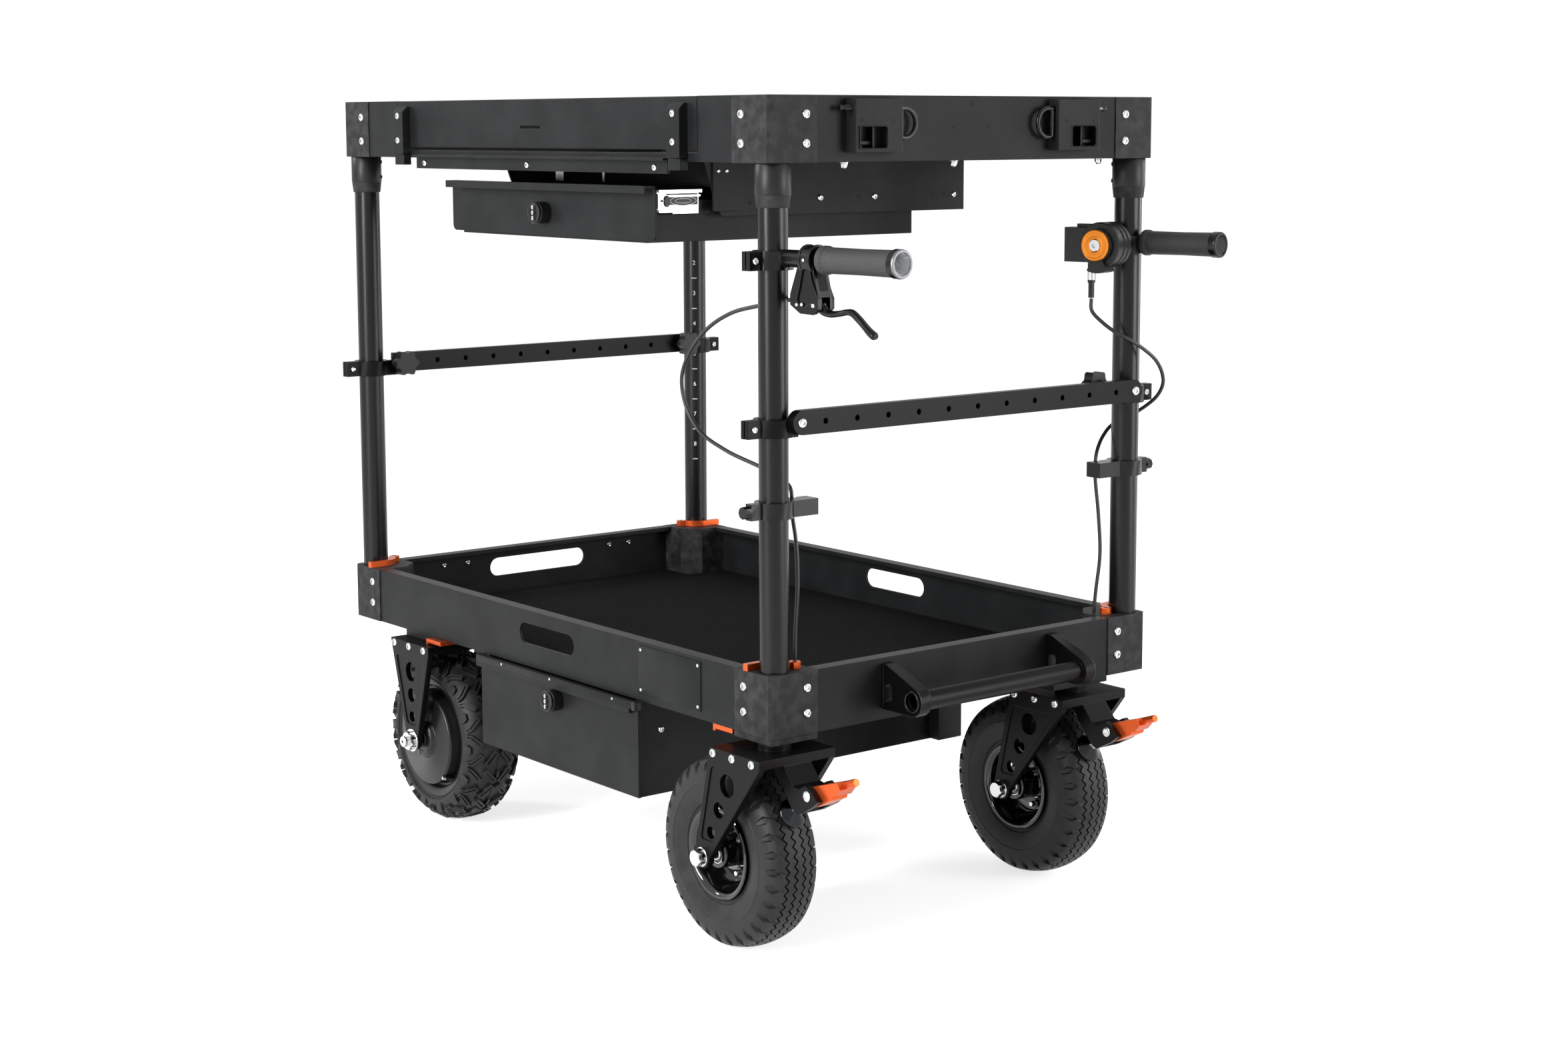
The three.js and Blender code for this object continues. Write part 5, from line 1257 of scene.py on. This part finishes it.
def make_cables():
    """The brake and throttle cables, held along their whole length."""
    for route, sy, name, node in (
            (BRAKE_ROUTE, -1, "brake_cable_sheath", "brake_cable"),
            (THROTTLE_ROUTE, 1, "throttle_cable_sheath", "throttle_cable")):
        post = Vector((POST_X, sy * POST_Y, 0))
        work = Work()
        work.tube([post + p for p in smooth_path(route, 8)], 2.6, 14)
        write_piece(work, name, "cart", ["sheath"], replaced=node)


def make_tow_trim():
    """Raised rims on the tow bar's end brackets, and the pressed rings in which the bar sits."""
    rims = Work()
    x0, z0, radius = 591.2, 327, 20
    for face, way in ((-155, -1), (159, 1)):

        def edge(reach, left, low, high):
            turns = [math.radians(54 - k * 12) for k in range(13)]
            arc = [(x0 + reach * math.cos(t), z0 + reach * math.sin(t)) for t in turns]
            return [(left, low), (left, high), (left + 9.6, high), *arc]

        outer = edge(radius, 532.6, 308, 368)
        inner = edge(radius - 3.4, 536.4, 311.8, 364.2)
        cheek_border(rims, outer, inner, face, way, 1.1)
        rims.turned(
            [(11, -1), (11, 0.6), (12.2, 1.8), (13.4, 1.8), (14.8, 0.4), (14.8, -1)],
            (x0, face, z0), (0, way, 0), 48, closed=True)
    write_piece(rims, "tow_bracket_rims", "cart", ["alloy"], sharp=40)


def into_handle(work, side):
    """Moves a piece drawn along the handle, from its post's axis, to where the handle is."""
    origin, along, left = handle_frame(side)
    work.points = [origin + along * p.x + left * p.y + Vector((0, 0, p.z)) for p in work.points]


def make_brake_trim():
    """The brake bracket's raised ribs and clamp ring, a strip of painted shade for its slot, and its bright
    pivot and reach screws.
    """
    ribs = Work()
    outer = [
        (63, 903), (76, 903), (83, 876), (94.3, 853), (94.3, 841), (86, 833.6), (63, 834.4),
        (45.6, 844.6), (45.6, 857.6),
    ]
    inner = rounded(
        [(69, 897), (72, 897), (78, 874), (86, 856), (84, 848), (66, 842), (57, 850), (62, 866)], 3)
    for way, face in ((-1, -12), (1, 12)):
        cheek_border(ribs, outer, inner, face, way, 2.2)
    for start, stop, radius in ((61.6, 66, 18.6), (66, 78, 17.7), (78, 82.4, 18.6)):
        ribs.turned(
            [(radius - 0.8, start), (radius, start + 0.8), (radius, stop - 0.8), (radius - 0.8, stop)],
            (0, 0, HANDLE_Z), (1, 0, 0), 48)
    # A narrow dark strip of painted shade, look 1, stands for a slot in the bracket.
    ribs.prism([(82.95, 894.3), (91.5, 862.7), (90, 862.3), (81.5, 893.9)], "y", -6.8, 6.8, 1)
    into_handle(ribs, "door")
    write_piece(ribs, "brake_bracket_ribs", "cart", ["alloy", "hole"], sharp=40)
    screws = Work()
    for x, z, radius in ((57, 845, 2.3), (66, 845.5, 2.3), (86, 845, 2.8), (73, 900, 2.2)):
        screws.screw((x, -14.2 if z < 880 else -18.4, z), (0, -1, 0), radius)
    into_handle(screws, "door")
    write_screws(screws, "brake_bracket_screws", "cart")


def strap(work, path, halves, plane):
    """A bar of oval section along a path; halves are its half sizes in and across the plane at each point."""
    rings = []
    across = Vector(plane)
    for i, (point, (inside, wide)) in enumerate(zip(path, halves)):
        way = (path[min(i + 1, len(path) - 1)] - path[max(i - 1, 0)]).normalized()
        side = way.cross(across)
        rings.append(
            [point + side * inside * math.cos(t) + across * wide * math.sin(t) for t in circle(16)])
    work.loft(rings)


def make_brake_blade():
    """The brake's blade: a hub on its pivot, a neck, a knee and a finger end."""
    stops = [
        (86, 846, 7, 6.2), (88, 841, 7, 6.2), (99, 835.4, 4.6, 5.6), (117, 836.2, 3.8, 5),
        (130, 838.6, 3.8, 5), (139, 838.2, 4.4, 5.2), (150, 831.5, 4.4, 5.4), (161, 823, 4, 5.6),
        (170, 816, 4.6, 6), (176, 812.6, 5, 6.2), (179, 811.6, 3.4, 4.4),
    ]
    centre = smooth_path([(x, 0, z) for x, z, _, _ in stops], 4)
    sizes = smooth_path([(a, b, 0) for _, _, a, b in stops], 4)
    sizes = [sizes[min(i, len(sizes) - 1)] for i in range(len(centre))]
    work = Work()
    strap(work, centre, [(p.x, p.y) for p in sizes], (0, 1, 0))
    into_handle(work, "door")
    lever = "brake_lever"
    write_piece(work, "brake_lever_blade", lever, ["alloy"], sharp=50, replaced=lever)


def make_ring_pins():
    """The accessory pins: a round bar with a turned tip, and a D-shaped ring of round wire."""
    x, z, wire = 541, 1084, 3.2
    bow_y, bow_z, bow_radius, bow_back = 127, 1065.2, 18.8, 6.15
    for side, sign in (("door", -1), ("far", 1)):
        work = Work()
        work.turned(
            [(0, 127), (3.6, 127), (3.6, 226), (3, 226.8), (3, 229), (3.6, 229.8), (3.6, 233.4), (2.6, 234.8),
             (0, 234.8)],
            (x, 0, z), (0, sign, 0), 24)
        turn = math.acos(bow_back / bow_radius)
        bow = [(bow_y + bow_radius * math.cos(a), bow_z + bow_radius * math.sin(a)) for a in
               (turn + k / 28 * (math.pi - turn) * 2 for k in range(29))]
        back = [(bow[-1][0], bow[-1][1] + (bow[0][1] - bow[-1][1]) * k / 5) for k in range(1, 5)]
        path = [Vector((x, sign * y, up)) for y, up in bow + back]
        rings = []
        for before, here, after in zip(path[-1:] + path[:-1], path, path[1:] + path[:1]):
            way = (after - before).normalized()
            out = way.cross(Vector((1, 0, 0)))
            rings.append(
                [here + (out * math.cos(t) + Vector((1, 0, 0)) * math.sin(t)) * wire for t in circle(14)])
        work.loft(rings, closed=True)
        pin = f"ring_pin_{side}"
        write_piece(work, f"accessory_pin_{side}", pin, ["alloy"], sharp=50, replaced=pin)


def make_collars():
    """The castings' round collars, smoother than the castings themselves, with their set screws."""
    skin = Work()
    screws = Work()
    for sx, sy in CORNERS.values():
        x, y = sx * POST_X, sy * POST_Y
        skin.turned(
            [(22.3, 1016.4), (22.9, 1015.8), (22.9, 978), (22.3, 976.6)], (x, y, 0), (0, 0, 1), 64)
        for z in (1008, 985):
            spot = Vector((x - sx * 15.4, y - sy * 17, z))
            way = Vector((-sx * 15.4, -sy * 17, 0)).normalized()
            screws.turned([(2.8, -1), (2.8, 0.9), (2, 1.4), (1.2, 1.4), (0.9, 0.5), (0, 0.5)], spot, way, 20)
    write_piece(skin, "collar_skins", "cart", ["plastic"], sharp=60)
    write_piece(screws, "collar_set_screws", "cart", ["plastic"], sharp=40)


def make_throttle_trim():
    """The throttle's round body shell, its dial's orange ring and screw, and the cable's bright plug."""
    origin, along, left = handle_frame("far")
    out = -left
    centre = origin + along * 4 + Vector((0, 0, 898.4))
    ring = Work()
    ring.turned(
        [(8.8, 86), (21, 86), (21.8, 87), (21.8, 89.2), (20.6, 90.4), (17.6, 90.4), (17.2, 90), (12.6, 90),
         (12.2, 90.4), (9.6, 90.4), (8.8, 89.6)],
        centre, out, 64, closed=True)
    write_piece(ring, "throttle_dial_ring", "throttle_dial", ["amber"], sharp=40)
    shell = Work()
    shell.turned(
        [(16.4, 44.4), (30.4, 44.4), (31.5, 45.5), (31.5, 51), (30, 52.2), (30, 54.2), (31.5, 55.4),
         (31.5, 61), (30, 62.2), (30, 64.2), (31.5, 65.4), (31.5, 76.6), (29.8, 78.6), (23.4, 78.6)],
        centre, out, 64)
    write_piece(shell, "throttle_body_shell", "cart", ["plastic"], sharp=40)
    screw = Work()
    screw.turned(
        [(8.6, 86), (8.6, 90.2), (7.8, 91), (4, 91), (3.6, 88), (0, 88)], centre, out, 40, flats=(3, 4))
    write_piece(screw, "throttle_dial_screw", "throttle_dial", ["stainless"], sharp=40)
    plug = Work()
    place = origin + along * -23 + left * -55
    plug.turned(
        [(3.6, 872), (3.6, 866), (5.4, 865), (5.6, 858), (5.6, 849), (4.6, 848), (4.2, 845), (0, 845)],
        place, (0, 0, 1), 28)
    write_piece(plug, "throttle_plug", "cart", ["zinc"], sharp=40)


# Marks


def make_scale():
    """White height numbers and ticks on the post at the far drive corner, facing the open side."""
    x0, y0, radius = -POST_X, POST_Y, POST_RADIUS + 0.25
    facing = math.radians(-38.6)
    out = Vector((math.cos(facing), math.sin(facing), 0))
    spin = Matrix((Vector((-out.y, out.x, 0)), Vector((0, 0, 1)), out)).transposed()
    ticks = Work()
    top, pitch, half_long, half_high = 830, 52, 4.2, 0.6
    for index in range(7):
        z = top - index * pitch
        place = Matrix.Translation(at(x0, y0, z) + out * radius * MM) @ spin.to_4x4()
        write_number(f"post_number_{index + 2}", str(index + 2), 10, 0.1, place, "cart")
        side = Vector((-out.y, out.x, 0))
        centre = Vector((x0, y0, z - pitch / 2)) + out * (radius - 0.1)
        corners = [
            centre + side * half_long * a + Vector((0, 0, half_high * b)) for a, b in
            ((-1, -1), (1, -1), (1, 1), (-1, 1))]
        ticks.loft([[p - out * 0.2 for p in corners], [p + out * 0.2 for p in corners]])
    write_piece(ticks, "post_ticks", "cart", ["ink"])


def make_sockets():
    """The accessory sockets' windows: a lining that rounds the corners, a divider and a small step."""
    lining = Work()
    for sign in (-1, 1):
        low, high = sorted((sign * 162, sign * 209))
        outer = [(low - 0.3, 1033.1), (high + 0.3, 1033.1), (high + 0.3, 1061.7), (low - 0.3, 1061.7)]
        inner = rounded(
            [(low + 0.8, 1034.2), (high - 0.8, 1034.2), (high - 0.8, 1060.6), (low + 0.8, 1060.6)], 5)
        wide, narrow = matched_loops(outer, inner, ((low + high) / 2, 1047.4))
        lining.loft(
            [[(x, p.x, p.y) for p in loop] for x, loop in
             ((536.2, wide), (550.4, wide), (550.4, narrow), (536.2, narrow))], closed=True)
        near, far = sorted((sign * 182, sign * 186))
        lining.block((536, near, 1034), (547, far, 1061))
        near, far = sorted((sign * 186, sign * 208))
        lining.block((536, near, 1038), (544, far, 1043))
    write_piece(lining, "socket_linings", "cart", ["milled"], bevel=0.3)


def make_marks():
    """Centre marks on the handle end, painted-shade discs for small holes, and the bare plate on the lower
    wall.
    """
    marks = Work()
    for z in (1091, 366):
        marks.prism([(-6, z - 3), (2, z - 3), (-2, z + 3)], "x", WALL_X - 0.1, WALL_X + 0.3)
    write_piece(marks, "centre_marks", "cart", ["hole"])
    # The holes are flat near-black discs: painted shade, not cut holes.
    holes = Work()
    for y, z, radius in ((-33, 1060, 3), (27, 1060, 3), (-234, 336, 3)):
        holes.turned([(radius, 0), (radius, 0.35), (0, 0.35)], (WALL_X, y, z), (1, 0, 0), 20)
    for y in (-205.5, -153.3, 153.3, 205.5):
        holes.turned([(2, 0), (2, 0.35), (0, 0.35)], (550, y, 1068.5), (1, 0, 0), 16)
    for y, z, radius in ((43, 963, 2.8), (-150, 958, 2.8), (183, 963, 2.2), (205, 975, 1.8), (205, 965, 1.8)):
        holes.turned([(radius, 0), (radius, 0.35), (0, 0.35)], (250, y, z), (1, 0, 0), 16)
    holes.turned([(2.6, 0), (2.6, 0.35), (0, 0.35)], (240, -285, 258), (1, 0, 0), 16)
    write_piece(holes, "small_hole_shades", "cart", ["hole"])
    plate = Work()
    plate.block((243, -WALL_Y - 1.2, 303), (384, -WALL_Y, 370))
    write_piece(plate, "bare_plate", "cart", ["coat"], bevel=0.4)
    screws = Work()
    for x in (249, 378):
        for z in (309, 364):
            screws.screw((x, -WALL_Y - 1.2, z), (0, -1, 0), 2.4)
    write_screws(screws, "bare_plate_screws", "cart")


# Stage

# The camera's place in cart millimetres, its turns in degrees, and its lens, from the photo's perspective
CAMERA_PLACE = (2943.4, -2233.5, 1062.0)
CAMERA_TURN = 51.519
CAMERA_PITCH = 7.634
CAMERA_ROLL = -0.149
CAMERA_LENS = 57.23
CAMERA_SHIFT = -0.04

# Name, place and size in metres, and watts. A tall strip on the door side draws the posts' bright streak, a
# small lamp grazes the drive end from above, a broad one lights the handle end and a weak strip the far side.
LAMPS = [
    ("key_strip", (0.4, -3.9, 1.8), (0.8, 2.4), 175),
    ("low_sheen", (-2.7, -1.9, 2.3), (0.5, 0.5), 30),
    ("side", (3.64, 2.1, 1.25), (1.6, 2.2), 90),
    ("far_strip", (0.8, 4.2, 1.4), (0.6, 2.6), 36),
]
LAMP_AIM = (0, 0, 0.6)
WORLD_STRENGTH = 0.35
FLOOR_HALF = 40
FLOOR_DROP = 0.0005
FLOOR_LIFT = 0.7


def make_camera():
    """The camera at the photograph's viewing angle."""
    data = bpy.data.cameras.new("camera")
    data.sensor_width = 36
    data.lens = CAMERA_LENS
    data.shift_y = CAMERA_SHIFT
    made = bpy.data.objects.new("camera", data)
    turn, pitch = math.radians(CAMERA_TURN), math.radians(CAMERA_PITCH)
    back = Vector((
        math.sin(turn) * math.cos(pitch), -math.cos(turn) * math.cos(pitch), math.sin(pitch)))
    made.location = at(*CAMERA_PLACE)
    level = (-back).to_track_quat("-Z", "Y")
    made.rotation_euler = (level @ Quaternion((0, 0, 1), math.radians(CAMERA_ROLL))).to_euler()
    bpy.context.scene.collection.objects.link(made)
    bpy.context.scene.camera = made


def add_lamp(name, place, size, watts):
    """A soft rectangular lamp that faces the cart."""
    data = bpy.data.lights.new(name, "AREA")
    data.shape = "RECTANGLE"
    data.size, data.size_y = size
    data.energy = watts
    made = bpy.data.objects.new(name, data)
    made.location = place
    made.rotation_euler = (Vector(LAMP_AIM) - Vector(place)).to_track_quat("-Z", "Y").to_euler()
    bpy.context.scene.collection.objects.link(made)


def white_to_eye(tree):
    """1 for what the camera sees straight, in a mirror or through glass, and 0 for light on the object."""
    path = add_node(tree, "ShaderNodeLightPath")
    straight = path.outputs["Is Camera Ray"]
    for kind in ("Is Glossy Ray", "Is Transmission Ray"):
        both = add_node(
            tree, "ShaderNodeMath", {"operation": "MAXIMUM"}, {0: straight, 1: path.outputs[kind]})
        straight = both.outputs[0]
    return straight


def make_stage():
    """The pale floor, the plain world and the lamps."""
    scene = bpy.context.scene
    scene.view_settings.view_transform = "Standard"
    floor_look, tree, shader = surface("pale_matt_floor", "#f4f4f3", 0.0, 0.8)
    paper = grain(tree, 300, 1.0)
    tint_range(tree, shader, paper, "#f3f3f2", "#f5f5f4")
    seen = white_to_eye(tree)
    lift = add_node(tree, "ShaderNodeMath", {"operation": "MULTIPLY", 1: FLOOR_LIFT}, {0: seen})
    shader.inputs["Emission Color"].default_value = (1, 1, 1, 1)
    tree.links.new(lift.outputs[0], shader.inputs["Emission Strength"])
    work = bmesh.new()
    bmesh.ops.create_grid(work, x_segments=1, y_segments=1, size=FLOOR_HALF)
    mesh = bpy.data.meshes.new("floor")
    work.to_mesh(mesh)
    work.free()
    mesh.materials.append(floor_look)
    floor = bpy.data.objects.new("floor", mesh)
    floor.location.z = -FLOOR_DROP
    scene.collection.objects.link(floor)
    world = bpy.data.worlds.new("studio")
    world.use_nodes = True
    tree = world.node_tree
    ground = tree.nodes["Background"]
    ground.inputs["Color"].default_value = (1, 1, 1, 1)
    ground.inputs["Strength"].default_value = WORLD_STRENGTH
    seen = add_node(tree, "ShaderNodeBackground", {"Color": (1, 1, 1, 1), "Strength": 1.0})
    mixed = add_node(
        tree, "ShaderNodeMixShader", {},
        {0: white_to_eye(tree), 1: ground.outputs[0], 2: seen.outputs[0]})
    tree.links.new(mixed.outputs[0], tree.nodes["World Output"].inputs["Surface"])
    scene.world = world
    for lamp in LAMPS:
        add_lamp(*lamp)


# Add-on layout


class CartSizes(bpy.types.PropertyGroup):
    """Sizes that a user may change."""

    tread_depth: bpy.props.FloatProperty(
        name="Tread depth", description="Depth of the caster tyres' grooves", default=0.005, unit="LENGTH")
    tread_gap: bpy.props.FloatProperty(
        name="Tread gap", description="Width of the caster tyres' grooves", default=0.0027, unit="LENGTH")
    tread_swing: bpy.props.FloatProperty(
        name="Tread swing", description="How far the grooves zigzag to either side", default=0.0027,
        unit="LENGTH")


class CartColours(bpy.types.PropertyGroup):
    """Colours that a user may change."""

    orange: bpy.props.FloatVectorProperty(
        name="Orange", description="Dye of the clamp levers, wheel release levers and foot levers",
        default=colour("#cf5520")[:3], subtype="COLOR", min=0, max=1)
    amber: bpy.props.FloatVectorProperty(
        name="Amber", description="Dye of the throttle's dial",
        default=colour("#d97f24")[:3], subtype="COLOR", min=0, max=1)


class CART_OT_stage(bpy.types.Operator):
    """Adds the floor, world, lamps and camera"""

    bl_idname = "cart.stage"
    bl_label = "Stage and camera"

    def execute(self, context):
        make_camera()
        make_stage()
        return {"FINISHED"}


class CART_OT_finishes(bpy.types.Operator):
    """Makes the materials and puts them on the cart's solid pieces"""

    bl_idname = "cart.finishes"
    bl_label = "Finishes"

    def execute(self, context):
        make_looks()
        finish_nodes()
        return {"FINISHED"}


class CART_OT_caster_wheels(bpy.types.Operator):
    """Adds ribbed tyres and pressed rims to the casters"""

    bl_idname = "cart.caster_wheels"
    bl_label = "Caster wheels"

    def execute(self, context):
        make_caster_wheels()
        return {"FINISHED"}


class CART_OT_drive_wheels(bpy.types.Operator):
    """Adds off-road tyres and motor covers to the drive wheels"""

    bl_idname = "cart.drive_wheels"
    bl_label = "Drive wheels"

    def execute(self, context):
        make_drive_wheels()
        return {"FINISHED"}


class CART_OT_casting_screws(bpy.types.Operator):
    """Adds the corner castings' screws"""

    bl_idname = "cart.casting_screws"
    bl_label = "Casting screws"

    def execute(self, context):
        make_casting_screws()
        return {"FINISHED"}


class CART_OT_deck_screws(bpy.types.Operator):
    """Adds the screws of the decks, the drawer case and the cabinet"""

    bl_idname = "cart.deck_screws"
    bl_label = "Deck screws"

    def execute(self, context):
        make_deck_screws()
        return {"FINISHED"}


class CART_OT_door_screws(bpy.types.Operator):
    """Adds the screws of the door's brackets"""

    bl_idname = "cart.door_screws"
    bl_label = "Door screws"

    def execute(self, context):
        make_door_screws()
        return {"FINISHED"}


class CART_OT_clamp_bolts(bpy.types.Operator):
    """Adds the bolts of the rail and handle clamps"""

    bl_idname = "cart.clamp_bolts"
    bl_label = "Clamp bolts"

    def execute(self, context):
        make_clamp_bolts()
        return {"FINISHED"}


class CART_OT_caster_hardware(bpy.types.Operator):
    """Adds the caster forks' borders, brake pads, screws and axle bolts"""

    bl_idname = "cart.caster_hardware"
    bl_label = "Caster hardware"

    def execute(self, context):
        make_caster_hardware()
        return {"FINISHED"}


class CART_OT_drive_hardware(bpy.types.Operator):
    """Adds the drive forks' borders, screws and axle nuts"""

    bl_idname = "cart.drive_hardware"
    bl_label = "Drive hardware"

    def execute(self, context):
        make_drive_hardware()
        return {"FINISHED"}


class CART_OT_slides(bpy.types.Operator):
    """Adds the upper drawer's slides and their latches"""

    bl_idname = "cart.slides"
    bl_label = "Drawer slides"

    def execute(self, context):
        make_slides()
        return {"FINISHED"}


class CART_OT_hangers(bpy.types.Operator):
    """Adds the drawer case's clips and the deck's dome nuts"""

    bl_idname = "cart.hangers"
    bl_label = "Clips and dome nuts"

    def execute(self, context):
        make_hangers()
        return {"FINISHED"}


class CART_OT_ledge(bpy.types.Operator):
    """Adds the lower drawer's finger ledge, its cap and screws"""

    bl_idname = "cart.ledge"
    bl_label = "Drawer ledge"

    def execute(self, context):
        make_ledge()
        return {"FINISHED"}


class CART_OT_locks(bpy.types.Operator):
    """Adds the fronts of both drawers' locks"""

    bl_idname = "cart.locks"
    bl_label = "Code locks"

    def execute(self, context):
        make_locks()
        return {"FINISHED"}


class CART_OT_carpet(bpy.types.Operator):
    """Adds the lower deck's carpet"""

    bl_idname = "cart.carpet"
    bl_label = "Carpet"

    def execute(self, context):
        make_carpet()
        return {"FINISHED"}


class CART_OT_corner_plates(bpy.types.Operator):
    """Adds the small plates in the decks' corners"""

    bl_idname = "cart.corner_plates"
    bl_label = "Corner plates"

    def execute(self, context):
        make_corner_plates()
        return {"FINISHED"}


class CART_OT_grips(bpy.types.Operator):
    """Adds both handle grips"""

    bl_idname = "cart.grips"
    bl_label = "Grips"

    def execute(self, context):
        make_grips()
        return {"FINISHED"}


class CART_OT_cables(bpy.types.Operator):
    """Adds the brake and throttle cables"""

    bl_idname = "cart.cables"
    bl_label = "Cables"

    def execute(self, context):
        make_cables()
        return {"FINISHED"}


class CART_OT_tow_trim(bpy.types.Operator):
    """Adds the rims of the tow bar's brackets"""

    bl_idname = "cart.tow_trim"
    bl_label = "Tow bar trim"

    def execute(self, context):
        make_tow_trim()
        return {"FINISHED"}


class CART_OT_brake_trim(bpy.types.Operator):
    """Adds the brake bracket's ribs and screws"""

    bl_idname = "cart.brake_trim"
    bl_label = "Brake bracket trim"

    def execute(self, context):
        make_brake_trim()
        return {"FINISHED"}


class CART_OT_brake_blade(bpy.types.Operator):
    """Adds the brake lever's blade"""

    bl_idname = "cart.brake_blade"
    bl_label = "Brake lever"

    def execute(self, context):
        make_brake_blade()
        return {"FINISHED"}


class CART_OT_ring_pins(bpy.types.Operator):
    """Adds the accessory sockets' ring pins"""

    bl_idname = "cart.ring_pins"
    bl_label = "Ring pins"

    def execute(self, context):
        make_ring_pins()
        return {"FINISHED"}


class CART_OT_collars(bpy.types.Operator):
    """Adds the posts' collars and their set screws"""

    bl_idname = "cart.collars"
    bl_label = "Collars"

    def execute(self, context):
        make_collars()
        return {"FINISHED"}


class CART_OT_throttle_trim(bpy.types.Operator):
    """Adds the throttle's body shell, dial ring and plug"""

    bl_idname = "cart.throttle_trim"
    bl_label = "Throttle trim"

    def execute(self, context):
        make_throttle_trim()
        return {"FINISHED"}


class CART_OT_scale(bpy.types.Operator):
    """Adds the post's height numbers and ticks"""

    bl_idname = "cart.scale"
    bl_label = "Post scale"

    def execute(self, context):
        make_scale()
        return {"FINISHED"}


class CART_OT_marks(bpy.types.Operator):
    """Adds centre marks, painted-shade discs for small holes, and the bare plate"""

    bl_idname = "cart.marks"
    bl_label = "Marks and plate"

    def execute(self, context):
        make_marks()
        return {"FINISHED"}


class CART_OT_sockets(bpy.types.Operator):
    """Adds the linings of the accessory sockets' windows"""

    bl_idname = "cart.sockets"
    bl_label = "Socket linings"

    def execute(self, context):
        make_sockets()
        return {"FINISHED"}


STEPS = [
    CART_OT_stage, CART_OT_finishes, CART_OT_caster_wheels, CART_OT_drive_wheels,
    CART_OT_casting_screws, CART_OT_deck_screws, CART_OT_door_screws, CART_OT_clamp_bolts,
    CART_OT_caster_hardware, CART_OT_drive_hardware, CART_OT_slides, CART_OT_hangers, CART_OT_ledge,
    CART_OT_locks, CART_OT_carpet, CART_OT_corner_plates, CART_OT_grips, CART_OT_cables,
    CART_OT_tow_trim, CART_OT_brake_trim, CART_OT_brake_blade, CART_OT_ring_pins, CART_OT_collars,
    CART_OT_throttle_trim, CART_OT_scale, CART_OT_marks, CART_OT_sockets,
]


class CART_PT_panel(bpy.types.Panel):
    """Shows the sizes and colours and lists the steps"""

    bl_idname = "CART_PT_panel"
    bl_label = "Camera cart"
    bl_space_type = "VIEW_3D"
    bl_region_type = "UI"
    bl_category = "Cart"

    def draw(self, context):
        scene = context.scene
        for kind, values in ((CartSizes, scene.cart_sizes), (CartColours, scene.cart_colours)):
            for name in kind.__annotations__:
                self.layout.prop(values, name)
        for step in STEPS:
            self.layout.operator(step.bl_idname)


CLASSES = [CartSizes, CartColours, *STEPS, CART_PT_panel]


def register():
    for item in CLASSES:
        bpy.utils.register_class(item)
    bpy.types.Scene.cart_sizes = bpy.props.PointerProperty(type=CartSizes)
    bpy.types.Scene.cart_colours = bpy.props.PointerProperty(type=CartColours)


def unregister():
    del bpy.types.Scene.cart_colours
    del bpy.types.Scene.cart_sizes
    for item in reversed(CLASSES):
        bpy.utils.unregister_class(item)


def main():
    register()
    for step in STEPS:
        group, name = step.bl_idname.split(".")
        getattr(getattr(bpy.ops, group), name)()


if __name__ == "__main__":
    main()
